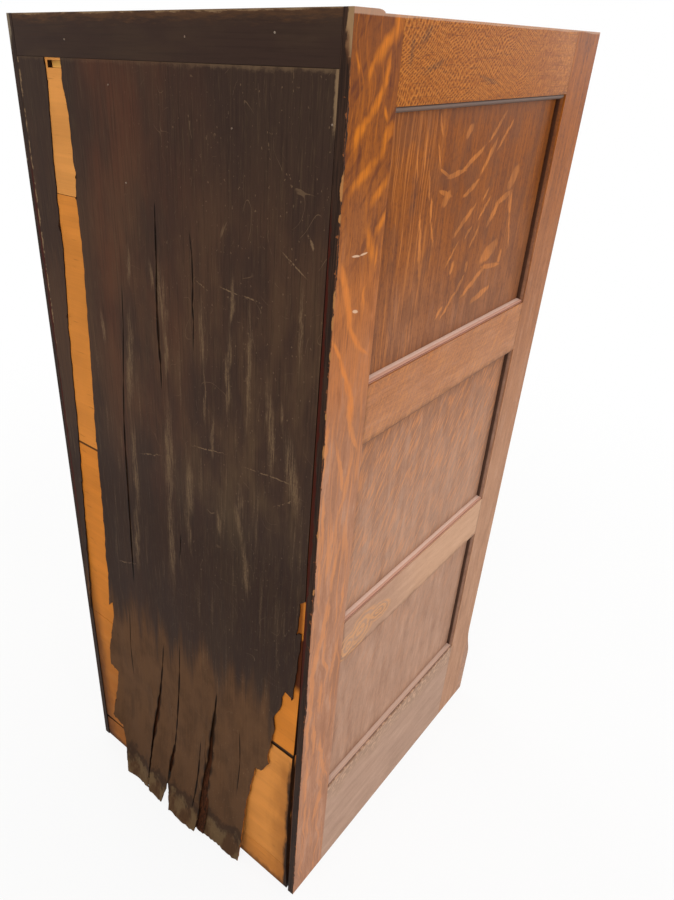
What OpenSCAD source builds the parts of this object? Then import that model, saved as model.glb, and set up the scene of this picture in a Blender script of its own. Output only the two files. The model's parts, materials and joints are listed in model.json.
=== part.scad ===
// Index card filing cabinet in quarter-sawn oak: framed and panelled sides, two columns of
// card drawers, and a laminated back whose outer sheet has torn and curled off the boards.
// Millimetres, +Z up, drawers open towards -Y, origin on the floor under the middle.

/* [Case] */
// Width over the two side frames
cab_w = 520; // [460:1:600]
// Depth of the side frames, front edge to back edge
cab_d = 603; // [560:1:700]
// Height from the floor to the top of the back rail
cab_h = 1320; // [1260:1:1450]
// How far the back rail and the rear stiles' horns stand above the top
back_rise = 3; // [1:0.5:6]
// Thickness of the top board
top_t = 20; // [14:1:24]
// Depth of the rebate that the top board drops into
top_rebate = 8; // [4:0.5:10]
// Thickness of the bottom board
bottom_t = 18; // [12:1:24]
// Thickness of the upright partition between the two columns
part_t = 20; // [14:1:30]

/* [Side frames] */
// Thickness of the stiles and rails
side_t = 22; // [20:0.5:28]
// Width of the front and rear stiles
stile_w = 82; // [64:1:100]
// Height of the rails between panels
rail_h = 78; // [60:1:95]
// Height of the top rail
top_rail_h = 75; // [60:1:95]
// Height of the bottom rail, up to the floor of the lowest drawer opening
base_h = 210; // [180:1:250]
// Thickness of a panel, of its groove and of the rail tenons
panel_t = 8; // [5:0.5:9]
// How far a panel's face lies below the face of its frame
panel_recess = 10.5; // [8:0.5:11]
// Depth of the groove that holds a panel
groove_d = 8; // [6:0.5:10]
// Length of the tenons on the side rails
tenon_l = 30; // [20:1:45]
// Distance from a rail's edge to its tenon
tenon_shoulder = 14; // [11:1:18]
// Width of the moulding planted round each panel
mould_w = 6; // [4:0.5:10]
// How far the moulding's crest lies below the face of the frame
mould_drop = 2; // [1:0.5:4]

/* [Plinth] */
// Height of the plinth board across the front
plinth_h = 201; // [150:1:208]
// Height at which the plinth's ogee starts
plinth_flat_h = 111; // [80:1:130]
// How far the plinth stands proud of the front
plinth_t = 24; // [20:1:30]

/* [Back] */
// Width of the stile edge that shows beside the back
back_lip = 11; // [8:0.5:13]
// Depth of the rebate that holds the back boards and their outer sheet
back_t = 12; // [10:0.5:16]
// Thickness of the outer sheet
skin_t = 1.6; // [1:0.1:2.5]
// Height of the rail above the back boards
back_rail_h = 46; // [36:1:60]
// Thickness of that rail
back_rail_t = 22; // [18:1:28]
// How far the torn sheet curls out at its foot
skin_curl = 34; // [20:1:45]
// Height at which the sheet starts to curl
skin_curl_h = 260; // [200:1:300]

/* [Drawer openings] */
// Height of the front above the top opening, top board included
head_h = 69; // [63:1:87]
// Thickness of the rails between rows, and of the runners
rail_t = 18; // [14:1:22]
// Depth of the rails between rows
rail_d = 60; // [45:1:90]
// Thickness of the base rail and of the rail under the top
front_rail_t = 22; // [16:1:28]
// Width of a runner
runner_w = 16; // [12:1:24]

/* [Drawers] */
// Thickness of a drawer front
front_t = 20; // [16:1:24]
// How much of the front is left in front of the dovetails
front_lap = 8; // [5:0.5:10]
// Thickness of the drawer sides and back
wall_t = 10; // [8:0.5:12]
// Height of the drawer sides
wall_h = 120; // [90:1:135]
// Thickness of the drawer bottom
floor_t = 6; // [4:0.5:8]
// Height of the space under the drawer bottom
floor_lift = 6.5; // [6:0.5:9]
// Space behind a shut drawer, up to the back edge of the cabinet
rear_space = 43; // [38:1:60]
// Length of a drawer that stays in the case when it is fully open
hold_l = 130; // [110:1:200]
// Height of the stop glued to each rail
stop_h = 5; // [4:0.5:5]
// Gap between a drawer front and its opening
front_gap = 1.5; // [1:0.1:2]
// Gap under a drawer side, and round the follower
slide_gap = 0.3; // [0.2:0.05:0.5]

/* [Followers] */
// Height of a follower block
follower_h = 104; // [80:1:110]
// Thickness of its leaning plate
follower_t = 12; // [8:1:16]
// Length of its foot
follower_foot = 70; // [60:1:90]
// Angle at which the plate leans back
follower_lean = 12; // [5:1:15]
// How far a follower slides forward
follower_travel = 350; // [250:1:360]
// Width of the slot that guides it
slot_w = 8; // [6:0.5:12]

/* [Pulls] */
// Width of a pull's plate
pull_w = 84; // [78:1:100]
// Height of a pull's plate
pull_h = 60; // [56:1:70]
// Thickness of the plate and of the cup's wall
pull_t = 1.6; // [1.2:0.1:2.4]
// Width of the label window
label_w = 68; // [50:1:72]
// Height of the label window
label_h = 30; // [20:1:32]
// Width of the finger cup
cup_w = 44; // [36:1:60]
// Radius of the finger cup
cup_r = 16; // [14:0.5:18]

/* [Hidden] */
panels = 3;
rows = 6;
columns = ["left", "right"];
board_names = ["top", "upper", "middle", "lower", "foot"];
rim_w = 3;
rim_t = 1.2;
pull_edge = 3;
cup_gap = 1;
glue_gap = 0.1;
horn_l = 37;
horn_ease = 12;
bead_steps = 4;
bead_quirk = 0.16;
bead_toe = 0.2;
tenon_gap = 1;
panel_gap = 1;
board_gap = 0.5;
skin_foot = 4;
curl_steps = 7;
ogee_steps = 10;
ogee_bias = 0.85;
tails = 3;
tail_root = 20;
tail_tip = 27;
floor_groove = 4;
stop_l = 18;
stop_x = 35;
stop_w = 20;
lug_gap = 1;
slot_lead = 2;
key_w = 20;
key_t = 3;
tongue_inset = 20;
tongue_l = 30;
rear_stop = 12;
foot_tip_t = 8;
knee_h = 24;
knee_t = 8;
arc_step = 15;

front_y = plinth_t - (cab_d + plinth_t + skin_curl) / 2;
back_y = front_y + cab_d;
half_w = cab_w / 2;
inner_w = half_w - side_t;
top_z = cab_h - back_rise;
panel_h = (top_z - base_h - top_rail_h - (panels - 1) * rail_h) / panels;
frame_y0 = front_y + stile_w;
frame_y1 = back_y - stile_w;
open_w = inner_w - part_t / 2;
open_h = (top_z - base_h - head_h - (rows - 1) * rail_t) / rows;
inside_y = back_y - back_rail_t;
board_y = back_y - back_t;
skin_y = back_y - skin_t;
drawer_l = cab_d - rear_space;
drawer_travel = drawer_l - hold_l;
stop_y = front_y + front_t + slide_gap;
follower_y = front_y + drawer_l - wall_t - rear_stop - follower_foot;

oak = "#a5673a";
oak_dark = "#8a5230";
oak_pale = "#b98a62";
board_orange = "#c8823f";
sheet_dark = "#3d3028";
brass = "#b08d4a";

// Each side rail: floor and top of the rail, floor and top of its tenon
side_rails = [
    [0, base_h, tenon_shoulder, base_h - tenon_shoulder],
    for (i = [1 : panels - 1]) let (z = base_h + i * panel_h + (i - 1) * rail_h)
        [z, z + rail_h, z + tenon_shoulder, z + rail_h - tenon_shoulder],
    [top_z - top_rail_h, top_z, top_z - top_rail_h + tenon_shoulder, top_z - top_t - tenon_gap]
];
// Floor and top of each panel opening
panel_spans = [for (i = [0 : panels - 1]) [side_rails[i][1], side_rails[i + 1][0]]];

// The back is drawn at one size, drawn_w by drawn_h, and stretches with the case.
// Its points are [distance from the +X lip, height].
back_w = cab_w - 2 * back_lip;
back_h = cab_h - back_rail_h;
drawn_w = 498;
drawn_h = 1274;
function on_back(p, margin = 0) = [
    (back_w / 2 - margin) * (1 - 2 * p[0] / drawn_w),
    p[1] * back_h / drawn_h
];
// A shallow pocket in the top board, half hidden by the sheet
pocket = [[61, drawn_h - 11], [122, drawn_h - 11], [122, drawn_h - 3], [61, drawn_h - 3]];
pocket_t = 8;
// Outlines of the boards under the sheet, from the top down
board_outlines = [
    [[0, 1115.5], [0, drawn_h], [drawn_w, drawn_h], [drawn_w, 1115.5]],
    [[0, 730.5], [0, 1115], [drawn_w, 1115], [drawn_w, 730.5]],
    [[0, 354], [0, 730], [drawn_w, 730], [496, 500], [492, 352]],
    [[0, 60], [0, 353.6], [490, 347], [488, 200], [490, 60]],
    [[0, 0], [0, 54], [60, 59], [490, 59.5], [494, 0]]
];
// Outline of the main sheet: top, ragged -X edge, foot with three splits, ragged +X edge
skin_outline = [
    [91, drawn_h], [drawn_w, drawn_h], [496, 737], [497, 668], [489, 661], [487, 604], [495, 609],
    [486, 479], [470, 485], [465, 445], [452, 413], [455, 389], [444, 318], [448, 304],
    [433, 274], [421, 269], [415, 238], [403, 168], [399, 80], [398, skin_foot],
    [308, skin_foot], [311, 110], [320, 190], [324, 290], [314, 195], [303, 115],
    [299, skin_foot + 3], [228, skin_foot], [222, 40], [218, 72], [213, 40],
    [206, skin_foot], [170, skin_foot + 2], [169, 76], [171, 150], [184, 250],
    [166, 148], [164, 76], [166, skin_foot + 4], [106, skin_foot + 2], [94, 61],
    [78, 103], [52, 116], [59, 176], [66, 237], [46, 247], [50, 290], [60, 335],
    [73, 387], [73, 418], [60, 403], [68, 480], [66, 508], [72, 597], [76, 751],
    [83, 855], [93, 1022], [94, 1077], [93, 1115], [97, 1147], [95, 1173], [96, 1215],
    [94, 1229], [90, 1250]
];
// Each tongue of the sheet: its two edges, and its curl as a share of the full one
tongues = [[40, 168, 0.88], [168, 218, 0.94], [218, 306, 1], [306, drawn_w, 0.6]];
// Outline of the strip of sheet that is left beside the +X stile
strip_outline = [
    [0, drawn_h], [57, drawn_h], [59, 1249], [57, 1228], [51, 1158], [48, 1081], [49, 1055],
    [46, 1012], [37, 921], [33, 841], [27, 731], [22, 655], [14, 548], [11, 479],
    [5, 404], [0, 356]
];

// A box between its lowest and highest corners
module box(low, high) {
    translate(low)
        cube(high - low);
}

// An outline of [y, z] points, drawn out along X
module along_x(x0, x1, points) {
    translate([x0, 0, 0])
        rotate([90, 0, 90])
            linear_extrude(x1 - x0)
                polygon(points);
}

// An outline of [x, z] points, drawn out along Y
module along_y(y0, y1, points) {
    translate([0, y1, 0])
        rotate([90, 0, 0])
            linear_extrude(y1 - y0)
                polygon(points);
}

// The side pieces are drawn for the +X side and mirrored for the other
module on_side(side) {
    mirror([side == "left" ? 1 : 0, 0, 0])
        children();
}

// A slab of the groove's thickness in the side frame, y0 to y1 and z0 to z1
module groove_slab(y0, y1, z0, z1) {
    box([half_w - panel_recess - panel_t, y0, z0], [half_w - panel_recess, y1, z1]);
}

// The rebate along the top of a side frame
module top_rebate_cut(y0, y1) {
    box([inner_w - 1, y0, top_z - top_t], [inner_w + top_rebate, y1, cab_h + 1]);
}

// Grooves and mortises cut into a stile from its inner edge; dir is +1 towards the back
module stile_cuts(edge, dir) {
    groove_y = edge + dir * groove_d;
    mortise_y = edge + dir * (tenon_l + tenon_gap);
    for (span = panel_spans)
        groove_slab(min(edge, groove_y), max(edge, groove_y),
            span[0] - groove_d, span[1] + groove_d);
    for (rail = side_rails)
        groove_slab(min(edge, mortise_y), max(edge, mortise_y), rail[2], rail[3]);
}

// What a rear stile loses in front of the horn that stands up at its back edge
module horn_cut() {
    horn_y = back_y - horn_l;
    along_x(inner_w - 1, half_w + 1, concat([[frame_y1 - 1, cab_h + 1], [frame_y1 - 1, top_z]],
        [for (a = [90 : -arc_step : 0])
            [horn_y - horn_ease * sin(a), top_z + back_rise * cos(a)]],
        [[horn_y, cab_h + 1]]));
}

module rear_stile(side) {
    color(oak_dark)
        on_side(side)
            difference() {
                box([inner_w, frame_y1, 0], [half_w, back_y, cab_h]);
                stile_cuts(frame_y1, 1);
                top_rebate_cut(frame_y1 - 1, inside_y);
                horn_cut();
                box([inner_w - 1, board_y, -1], [half_w - back_lip, back_y + 1, cab_h + 1]);
            }
}

module front_stile(side) {
    color(oak)
        on_side(side)
            difference() {
                box([inner_w, front_y, 0], [half_w, frame_y0, top_z]);
                stile_cuts(frame_y0, -1);
                top_rebate_cut(front_y - 1, frame_y0 + 1);
            }
}

module side_rail(rail, groove_below, groove_above) {
    difference() {
        box([inner_w, frame_y0, rail[0]], [half_w, frame_y1, rail[1]]);
        if (groove_below)
            groove_slab(frame_y0 - 1, frame_y1 + 1, rail[0] - 1, rail[0] + groove_d);
        if (groove_above)
            groove_slab(frame_y0 - 1, frame_y1 + 1, rail[1] - groove_d, rail[1] + 1);
        if (rail[1] == top_z)
            top_rebate_cut(frame_y0 - 1, frame_y1 + 1);
    }
    groove_slab(frame_y0 - tenon_l, frame_y0, rail[2], rail[3]);
    groove_slab(frame_y1, frame_y1 + tenon_l, rail[2], rail[3]);
}

module side_rails_set(side) {
    color(oak)
        on_side(side)
            for (i = [0 : panels])
                side_rail(side_rails[i], i > 0, i < panels);
}

module side_panels(side) {
    edge = groove_d - panel_gap;
    color(oak_dark)
        on_side(side)
            for (span = panel_spans)
                groove_slab(frame_y0 - edge, frame_y1 + edge, span[0] - edge, span[1] + edge);
}

// A moulding strip along Y: width up Z from the frame's edge, height out along X
module moulding_strip(length) {
    crest = panel_recess - mould_drop;
    quirk = mould_w * bead_quirk;
    toe = mould_w * bead_toe;
    profile = concat(
        [[0, 0], [mould_w, 0]],
        [for (i = [0 : bead_steps]) let (a = 90 * i / bead_steps)
            [mould_w - (mould_w - 2 * quirk) * (1 - cos(a)),
                toe + (crest - toe) * sin(a)]],
        [[quirk, crest], [quirk, crest - toe], [0, crest - toe]]
    );
    intersection() {
        rotate([90, 0, 0])
            mirror([0, 0, 1])
                linear_extrude(length)
                    polygon([for (p = profile) [p[1], p[0]]]);
        along_x(-1, crest + 1, [[glue_gap, 0], [length - glue_gap, 0],
            [length - glue_gap - mould_w - 1, mould_w + 1],
            [glue_gap + mould_w + 1, mould_w + 1]]);
    }
}

module panel_mouldings(side) {
    x = half_w - panel_recess;
    color(oak_pale)
        on_side(side)
            for (span = panel_spans) {
                translate([x, frame_y0, span[0]])
                    moulding_strip(frame_y1 - frame_y0);
                translate([x, frame_y0, span[1]])
                    mirror([0, 0, 1])
                        moulding_strip(frame_y1 - frame_y0);
                translate([x, frame_y1, span[0]])
                    rotate([90, 0, 0])
                        moulding_strip(span[1] - span[0]);
                translate([x, frame_y0, span[0]])
                    mirror([0, 1, 0])
                        rotate([90, 0, 0])
                            moulding_strip(span[1] - span[0]);
            }
}

module top_board() {
    reach = inner_w + top_rebate;
    color(oak)
        box([-reach, front_y, top_z - top_t], [reach, inside_y, top_z]);
}

module bottom_board() {
    color(oak_pale)
        box([-inner_w, front_y + front_rail_t, base_h - bottom_t], [inner_w, board_y, base_h]);
}

module back_top_rail() {
    reach = half_w - back_lip;
    color(sheet_dark) {
        box([-reach, board_y, back_h], [reach, back_y, cab_h]);
        box([-inner_w, inside_y, back_h], [inner_w, board_y, cab_h]);
    }
}

module back_board(index) {
    color(board_orange)
        difference() {
            along_y(board_y, skin_y, [for (p = board_outlines[index]) on_back(p, board_gap)]);
            if (index == 0)
                along_y(skin_y - pocket_t, skin_y + 1, [for (p = pocket) on_back(p)]);
        }
}

// Distance of the curled sheet's outer face beyond the back, at height z
function curl(z, share) =
    share * skin_curl * pow(max(0, skin_curl_h - z) / (skin_curl_h - skin_foot), 2);

module curled_sheet(x0, x1, share) {
    heights = [for (i = [0 : curl_steps]) skin_foot + (skin_curl_h - skin_foot) * i / curl_steps];
    outer = [for (z = heights) [back_y + curl(z, share), z]];
    inner = [for (i = [curl_steps : -1 : 0]) outer[i] - [skin_t, 0]];
    along_x(x0, x1, concat(outer, [[back_y, back_h], [skin_y, back_h]], inner));
}

module back_sheet() {
    color(sheet_dark) {
        for (t = tongues)
            intersection() {
                curled_sheet(on_back([t[1], 0])[0], on_back([t[0], 0])[0], t[2]);
                along_y(skin_y - 1, back_y + skin_curl + 1, [for (p = skin_outline) on_back(p)]);
            }
        along_y(skin_y, back_y, [for (p = strip_outline) on_back(p)]);
    }
}

module centre_partition() {
    notch_z = top_z - head_h;
    color(oak)
        along_x(-part_t / 2, part_t / 2, [[front_y, base_h], [inside_y, base_h],
            [inside_y, top_z - top_t], [front_y + front_rail_t, top_z - top_t],
            [front_y + front_rail_t, notch_z], [front_y, notch_z]]);
}

module front_top_rail() {
    color(oak)
        box([-inner_w, front_y, top_z - head_h], [inner_w, front_y + front_rail_t, top_z - top_t]);
}

// Lowest X of a column's opening, and floor of row r, counted down from the top
function open_x(side) = side == "left" ? -inner_w : part_t / 2;
function open_z(r) = base_h + (rows - r) * (open_h + rail_t);
function open_mid(side) = open_x(side) + open_w / 2;

module front_rails() {
    color(oak) {
        box([-inner_w, front_y, plinth_flat_h], [inner_w, front_y + front_rail_t, base_h]);
        for (side = columns, r = [1 : rows]) {
            x = open_x(side);
            z = open_z(r);
            if (r < rows)
                box([x, front_y, z - rail_t], [x + open_w, front_y + rail_d, z]);
            box([open_mid(side) + stop_x, stop_y, z + glue_gap],
                [open_mid(side) + stop_x + stop_w, stop_y + stop_l, z + stop_h]);
        }
    }
}

// Ogee in [y, z] from the plinth's face up to the front
module plinth_board() {
    rise = plinth_h - plinth_flat_h;
    ogee = [for (i = [0 : ogee_steps]) let (s = i / ogee_steps)
        [front_y - plinth_t * (1 + cos(180 * pow(s, ogee_bias))) / 2, plinth_flat_h + rise * s]];
    color(oak)
        along_x(-half_w, half_w, concat([[front_y, 0], [front_y - plinth_t, 0]], ogee));
}

module drawer_runners() {
    color(oak_pale)
        for (side = columns, r = [0 : rows - 1], edge = [0, 1]) {
            x = open_x(side) + edge * (open_w - runner_w);
            z = r == 0 ? top_z - head_h : open_z(r) - rail_t;
            y = front_y + (r == 0 ? front_rail_t : rail_d);
            box([x, y, z], [x + runner_w, inside_y, z + rail_t]);
        }
}

// Dovetails on the front end of a drawer side, as [y, z] outlines; their sockets are wider
function tail_outline(i, z0, room) =
    let (pitch = (wall_h - front_gap) / tails, z = z0 + front_gap + pitch * (i + 0.5),
        root = tail_root / 2 + room, tip = tail_tip / 2 + room, end = front_y + front_lap - room)
        [[front_y + front_t + glue_gap, z - root], [front_y + front_t + glue_gap, z + root],
            [end, z + tip], [end, z - tip]];

module drawer_tails(x0, x1, z0, room) {
    for (i = [0 : tails - 1])
        along_x(x0, x1, tail_outline(i, z0, room));
}

module drawer_front(x0, x1, z0) {
    socket_w = wall_t + glue_gap;
    color(oak_dark)
        difference() {
            box([x0, front_y, z0 + front_gap], [x1, front_y + front_t, z0 + open_h - front_gap]);
            drawer_tails(x0 - 1, x0 + socket_w, z0, glue_gap);
            drawer_tails(x1 - socket_w, x1 + 1, z0, glue_gap);
        }
}

module drawer_side(x0, z0) {
    box([x0, front_y + front_t + glue_gap, z0 + slide_gap],
        [x0 + wall_t, front_y + drawer_l, z0 + wall_h]);
    drawer_tails(x0, x0 + wall_t, z0, 0);
}

module drawer(side, r) {
    x0 = open_x(side) + front_gap;
    x1 = x0 + open_w - 2 * front_gap;
    z0 = open_z(r);
    mid = open_mid(side);
    rear_y = front_y + drawer_l;
    inner_y = front_y + front_t + glue_gap;
    floor_z0 = z0 + floor_lift;
    floor_z1 = floor_z0 + floor_t;
    floor_x0 = x0 + wall_t - floor_groove;
    floor_x1 = x1 - wall_t + floor_groove;
    slot_y0 = follower_y - follower_travel + tongue_inset - slot_lead;
    slot_y1 = follower_y + tongue_inset + tongue_l + slot_lead;
    lug_y = stop_y + stop_l + drawer_travel + slide_gap;
    drawer_front(x0, x1, z0);
    color(oak_pale) {
        difference() {
            for (x = [x0, x1 - wall_t])
                drawer_side(x, z0);
            box([floor_x0 - glue_gap, inner_y - 1, floor_z0 - glue_gap],
                [floor_x1 + glue_gap, rear_y + 1, floor_z1 + glue_gap]);
        }
        box([x0 + wall_t + glue_gap, rear_y - wall_t, floor_z1 + glue_gap],
            [x1 - wall_t - glue_gap, rear_y, z0 + open_h - front_gap]);
        difference() {
            box([floor_x0, inner_y, floor_z0], [floor_x1, rear_y, floor_z1]);
            box([mid - slot_w / 2, slot_y0, floor_z0 - 1],
                [mid + slot_w / 2, slot_y1, floor_z1 + 1]);
        }
        box([mid + stop_x, lug_y, z0 + lug_gap],
            [mid + stop_x + stop_w, lug_y + stop_l, floor_z0 - glue_gap]);
    }
}

// A leaning plate on a wedge-shaped foot, its tongue in the drawer's slot, and the key
// under the drawer bottom that keeps it down
module follower(side, r) {
    mid = open_mid(side);
    half = open_w / 2 - front_gap - wall_t - 2 * slide_gap;
    floor_z = open_z(r) + floor_lift + floor_t + slide_gap;
    key_z = open_z(r) + floor_lift - slide_gap;
    lean = tan(follower_lean);
    tongue_y = follower_y + tongue_inset;
    color(oak_pale) {
        along_x(mid - half, mid + half, [for (p = [[0, 0], [follower_foot, 0],
            [follower_foot, foot_tip_t], [knee_h * lean + follower_t + knee_t, knee_h],
            [follower_h * lean + follower_t, follower_h], [follower_h * lean, follower_h]])
            [follower_y + p[0], floor_z + p[1]]]);
        box([mid - slot_w / 2 + slide_gap, tongue_y, key_z],
            [mid + slot_w / 2 - slide_gap, tongue_y + tongue_l, floor_z]);
        box([mid - key_w / 2, tongue_y, key_z - key_t],
            [mid + key_w / 2, tongue_y + tongue_l, key_z - glue_gap]);
    }
}

// Label frame and finger cup on one plate
module pull(side, r) {
    mid = open_mid(side);
    low = open_z(r) + (open_h - pull_h) / 2;
    high = low + pull_h;
    label_z1 = high - rim_w - pull_edge;
    label_z0 = label_z1 - label_h;
    face_y = front_y - pull_t;
    cup_z = label_z0 - rim_w - cup_gap - cup_r;
    arc = [for (a = [0 : arc_step : 90]) [cos(a), sin(a)]];
    outer = [for (p = arc) [face_y - cup_r * p[0], cup_z + cup_r * p[1]]];
    inner = [for (i = [len(arc) - 1 : -1 : 0])
        [face_y - (cup_r - pull_t) * arc[i][0], cup_z + (cup_r - pull_t) * arc[i][1]]];
    color(brass) {
        difference() {
            union() {
                box([mid - pull_w / 2, face_y, low], [mid + pull_w / 2, front_y, high]);
                box([mid - label_w / 2 - rim_w, face_y - rim_t, label_z0 - rim_w],
                    [mid + label_w / 2 + rim_w, face_y, label_z1 + rim_w]);
            }
            box([mid - label_w / 2, face_y - rim_t - 1, label_z0],
                [mid + label_w / 2, front_y + 1, label_z1]);
        }
        along_x(mid - cup_w / 2, mid + cup_w / 2, concat(outer, inner));
        for (x = [mid - cup_w / 2, mid + cup_w / 2 - pull_t])
            along_x(x, x + pull_t, concat([[face_y, cup_z]], outer));
    }
}

for (s = columns) {
    rear_stile(s);
    front_stile(s);
    side_rails_set(s);
    side_panels(s);
    panel_mouldings(s);
}
top_board();
bottom_board();
back_top_rail();
for (i = [0 : len(board_names) - 1])
    back_board(i);
back_sheet();
centre_partition();
front_top_rail();
front_rails();
plinth_board();
drawer_runners();
for (s = columns, r = [1 : rows]) {
    drawer(s, r);
    pull(s, r);
    follower(s, r);
}
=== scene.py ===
import json
import math
import random

import bpy
from mathutils import Matrix, Vector, kdtree
from mathutils import noise as field_noise

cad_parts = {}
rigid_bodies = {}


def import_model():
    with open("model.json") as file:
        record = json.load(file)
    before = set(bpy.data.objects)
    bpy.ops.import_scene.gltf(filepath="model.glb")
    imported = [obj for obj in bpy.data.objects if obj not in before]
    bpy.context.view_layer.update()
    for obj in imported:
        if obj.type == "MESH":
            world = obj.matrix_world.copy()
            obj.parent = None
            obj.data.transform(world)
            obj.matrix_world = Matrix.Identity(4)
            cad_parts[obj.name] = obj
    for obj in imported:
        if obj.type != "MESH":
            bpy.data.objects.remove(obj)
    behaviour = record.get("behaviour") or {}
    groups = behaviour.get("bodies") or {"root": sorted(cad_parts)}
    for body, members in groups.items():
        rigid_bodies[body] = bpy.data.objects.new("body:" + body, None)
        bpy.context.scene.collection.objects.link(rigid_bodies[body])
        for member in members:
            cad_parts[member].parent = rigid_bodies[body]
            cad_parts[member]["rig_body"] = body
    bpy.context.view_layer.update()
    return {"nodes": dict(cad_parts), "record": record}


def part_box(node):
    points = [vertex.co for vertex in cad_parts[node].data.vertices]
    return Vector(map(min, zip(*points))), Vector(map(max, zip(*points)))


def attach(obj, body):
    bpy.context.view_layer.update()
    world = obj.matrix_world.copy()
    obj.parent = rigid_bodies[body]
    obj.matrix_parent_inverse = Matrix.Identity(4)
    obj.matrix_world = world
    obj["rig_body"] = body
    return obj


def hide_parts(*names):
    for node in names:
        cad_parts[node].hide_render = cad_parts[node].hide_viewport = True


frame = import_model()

bl_info = {
    "name": "Index card cabinet",
    "version": (1, 0, 0),
    "blender": (4, 5, 0),
    "location": "3D View > Sidebar > Cabinet",
    "description": "Dresses the solids of an old oak card cabinet: wood, torn back sheet, pulls and stage",
    "category": "Object",
}

MM = 1000
X_AXIS, Z_AXIS = 0, 2
SIDES = ("left", "right")
ROWS = range(1, 7)

# Places in metres, for meshes.
STILE_LOW, STILE_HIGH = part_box("left_rear_stile")
FRONT_LOW, FRONT_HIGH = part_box("left_front_stile")
SHEET_LOW, SHEET_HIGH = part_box("back_sheet")
BACK_Y = STILE_HIGH.y
TOP_Z = STILE_HIGH.z
SHEET_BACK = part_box("back_board_top")[1].y
CURL_HEIGHT = 0.26
CURL_REACH = SHEET_HIGH.y - BACK_Y
CUTTER_REACH = 0.04
LIFT_REACH = 0.03
LIFT_HIGH, LIFT_FULL = 0.75, 0.25
MERGE = 0.00001
PULL_PLATE = 0.0016

# Places in millimetres, for materials. A rail is named by its lower edge; the gap is the one that the
# sheet's torn -X edge leaves beside the stile.
SIDE_FACE = abs(STILE_LOW.x) * MM
BACK_FACE = BACK_Y * MM
FRONT_FACE = FRONT_LOW.y * MM
FRAME_TOP = FRONT_HIGH.z * MM
STILE_TOP = TOP_Z * MM
PANEL_FRONT = FRONT_HIGH.y * MM
PANEL_REAR = STILE_LOW.y * MM
PANEL_LOW, PANEL_TALL, PANEL_PITCH = 210, 292, 370
THIRD_RAIL, SECOND_RAIL, TOP_RAIL = (PANEL_LOW + PANEL_TALL + row * PANEL_PITCH for row in range(3))
SHEET_EDGE = SHEET_HIGH.x * MM
GAP_HEIGHT = 632

# Height where oak is golden, height where it is pale, and how much sooner it pales towards the front.
# The paling is dust with painted sheen; towards the front it is painted sheen alone.
SIDE_FADE = (1230, 660, 0.1)
STILE_FADE = (1240, 740, 0.0)
FRONT_STILE_FADE = (1380, 450, 0.0)
PANEL_FADE = (1190, 560, 0.0)
FRONT_FADE = (1250, -100, 0.0)

# How pale each board of the back is at +X and at -X, and its tone.
BOARD_LOOKS = {
    "top": (0.85, 0.85, 1.0), "upper": (0.35, 0.35, 0.94), "middle": (0.15, 0.15, 0.95),
    "lower": (0.1, 0.6, 0.95), "foot": (0.1, 0.4, 0.8),
}
# Nails in the back: mm from the +X edge, height.
NAILS = ((104, 1293), (306, 1297), (424, 1301), (178, 1249), (370, 1218), (197, 1146), (494, 1230))
NAIL_HEIGHT = 0.0008
SCREW_HEIGHT = 0.001
SCREW_INSET = 0.006

# The stage, in metres and watts; the camera is the photo's own, fitted to the cabinet's edges.
FLOOR_SIZE = 40
LAMP_SIZE = 2.8
LAMPS = (("rear_lamp", (-0.9, 3.3, 2.5), 64), ("left_lamp", (-3.4, 0.2, 2.3), 36),
         ("front_lamp", (-0.8, -3.5, 2.4), 60), ("right_lamp", (3.4, -0.6, 2.3), 40))
CAMERA_PLACE = (-0.6555, 0.8666, 1.2882)
CAMERA_TURN = (220.07, 30.02, -1.31)
CAMERA_LENS = 28.24
CAMERA_SHIFT = (0.0789, 0.0073)


def srgb(red, green, blue):
    """A colour given as it looks on a screen, 0 to 255, in linear values from 0 to 1."""
    return tuple((c / 255 / 12.92) if c <= 10 else ((c / 255 + 0.055) / 1.055) ** 2.4
                 for c in (red, green, blue))


def shaded(colour, share):
    """A fixed colour made darker, or lighter up to full."""
    return tuple(min(part * share, 1) for part in colour)


def between(first, second, share):
    """A fixed colour between two: the first at share 0, the second at share 1."""
    return tuple(a * (1 - share) + b * share for a, b in zip(first, second))


def colour_setting(name, description, red, green, blue):
    return bpy.props.FloatVectorProperty(name=name, description=description, subtype="COLOR",
                                         size=3, min=0, max=1, default=srgb(red, green, blue))


def length_setting(name, description, metres):
    return bpy.props.FloatProperty(name=name, description=description, default=metres,
                                   min=0, soft_max=10 * metres, unit="LENGTH")


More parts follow.
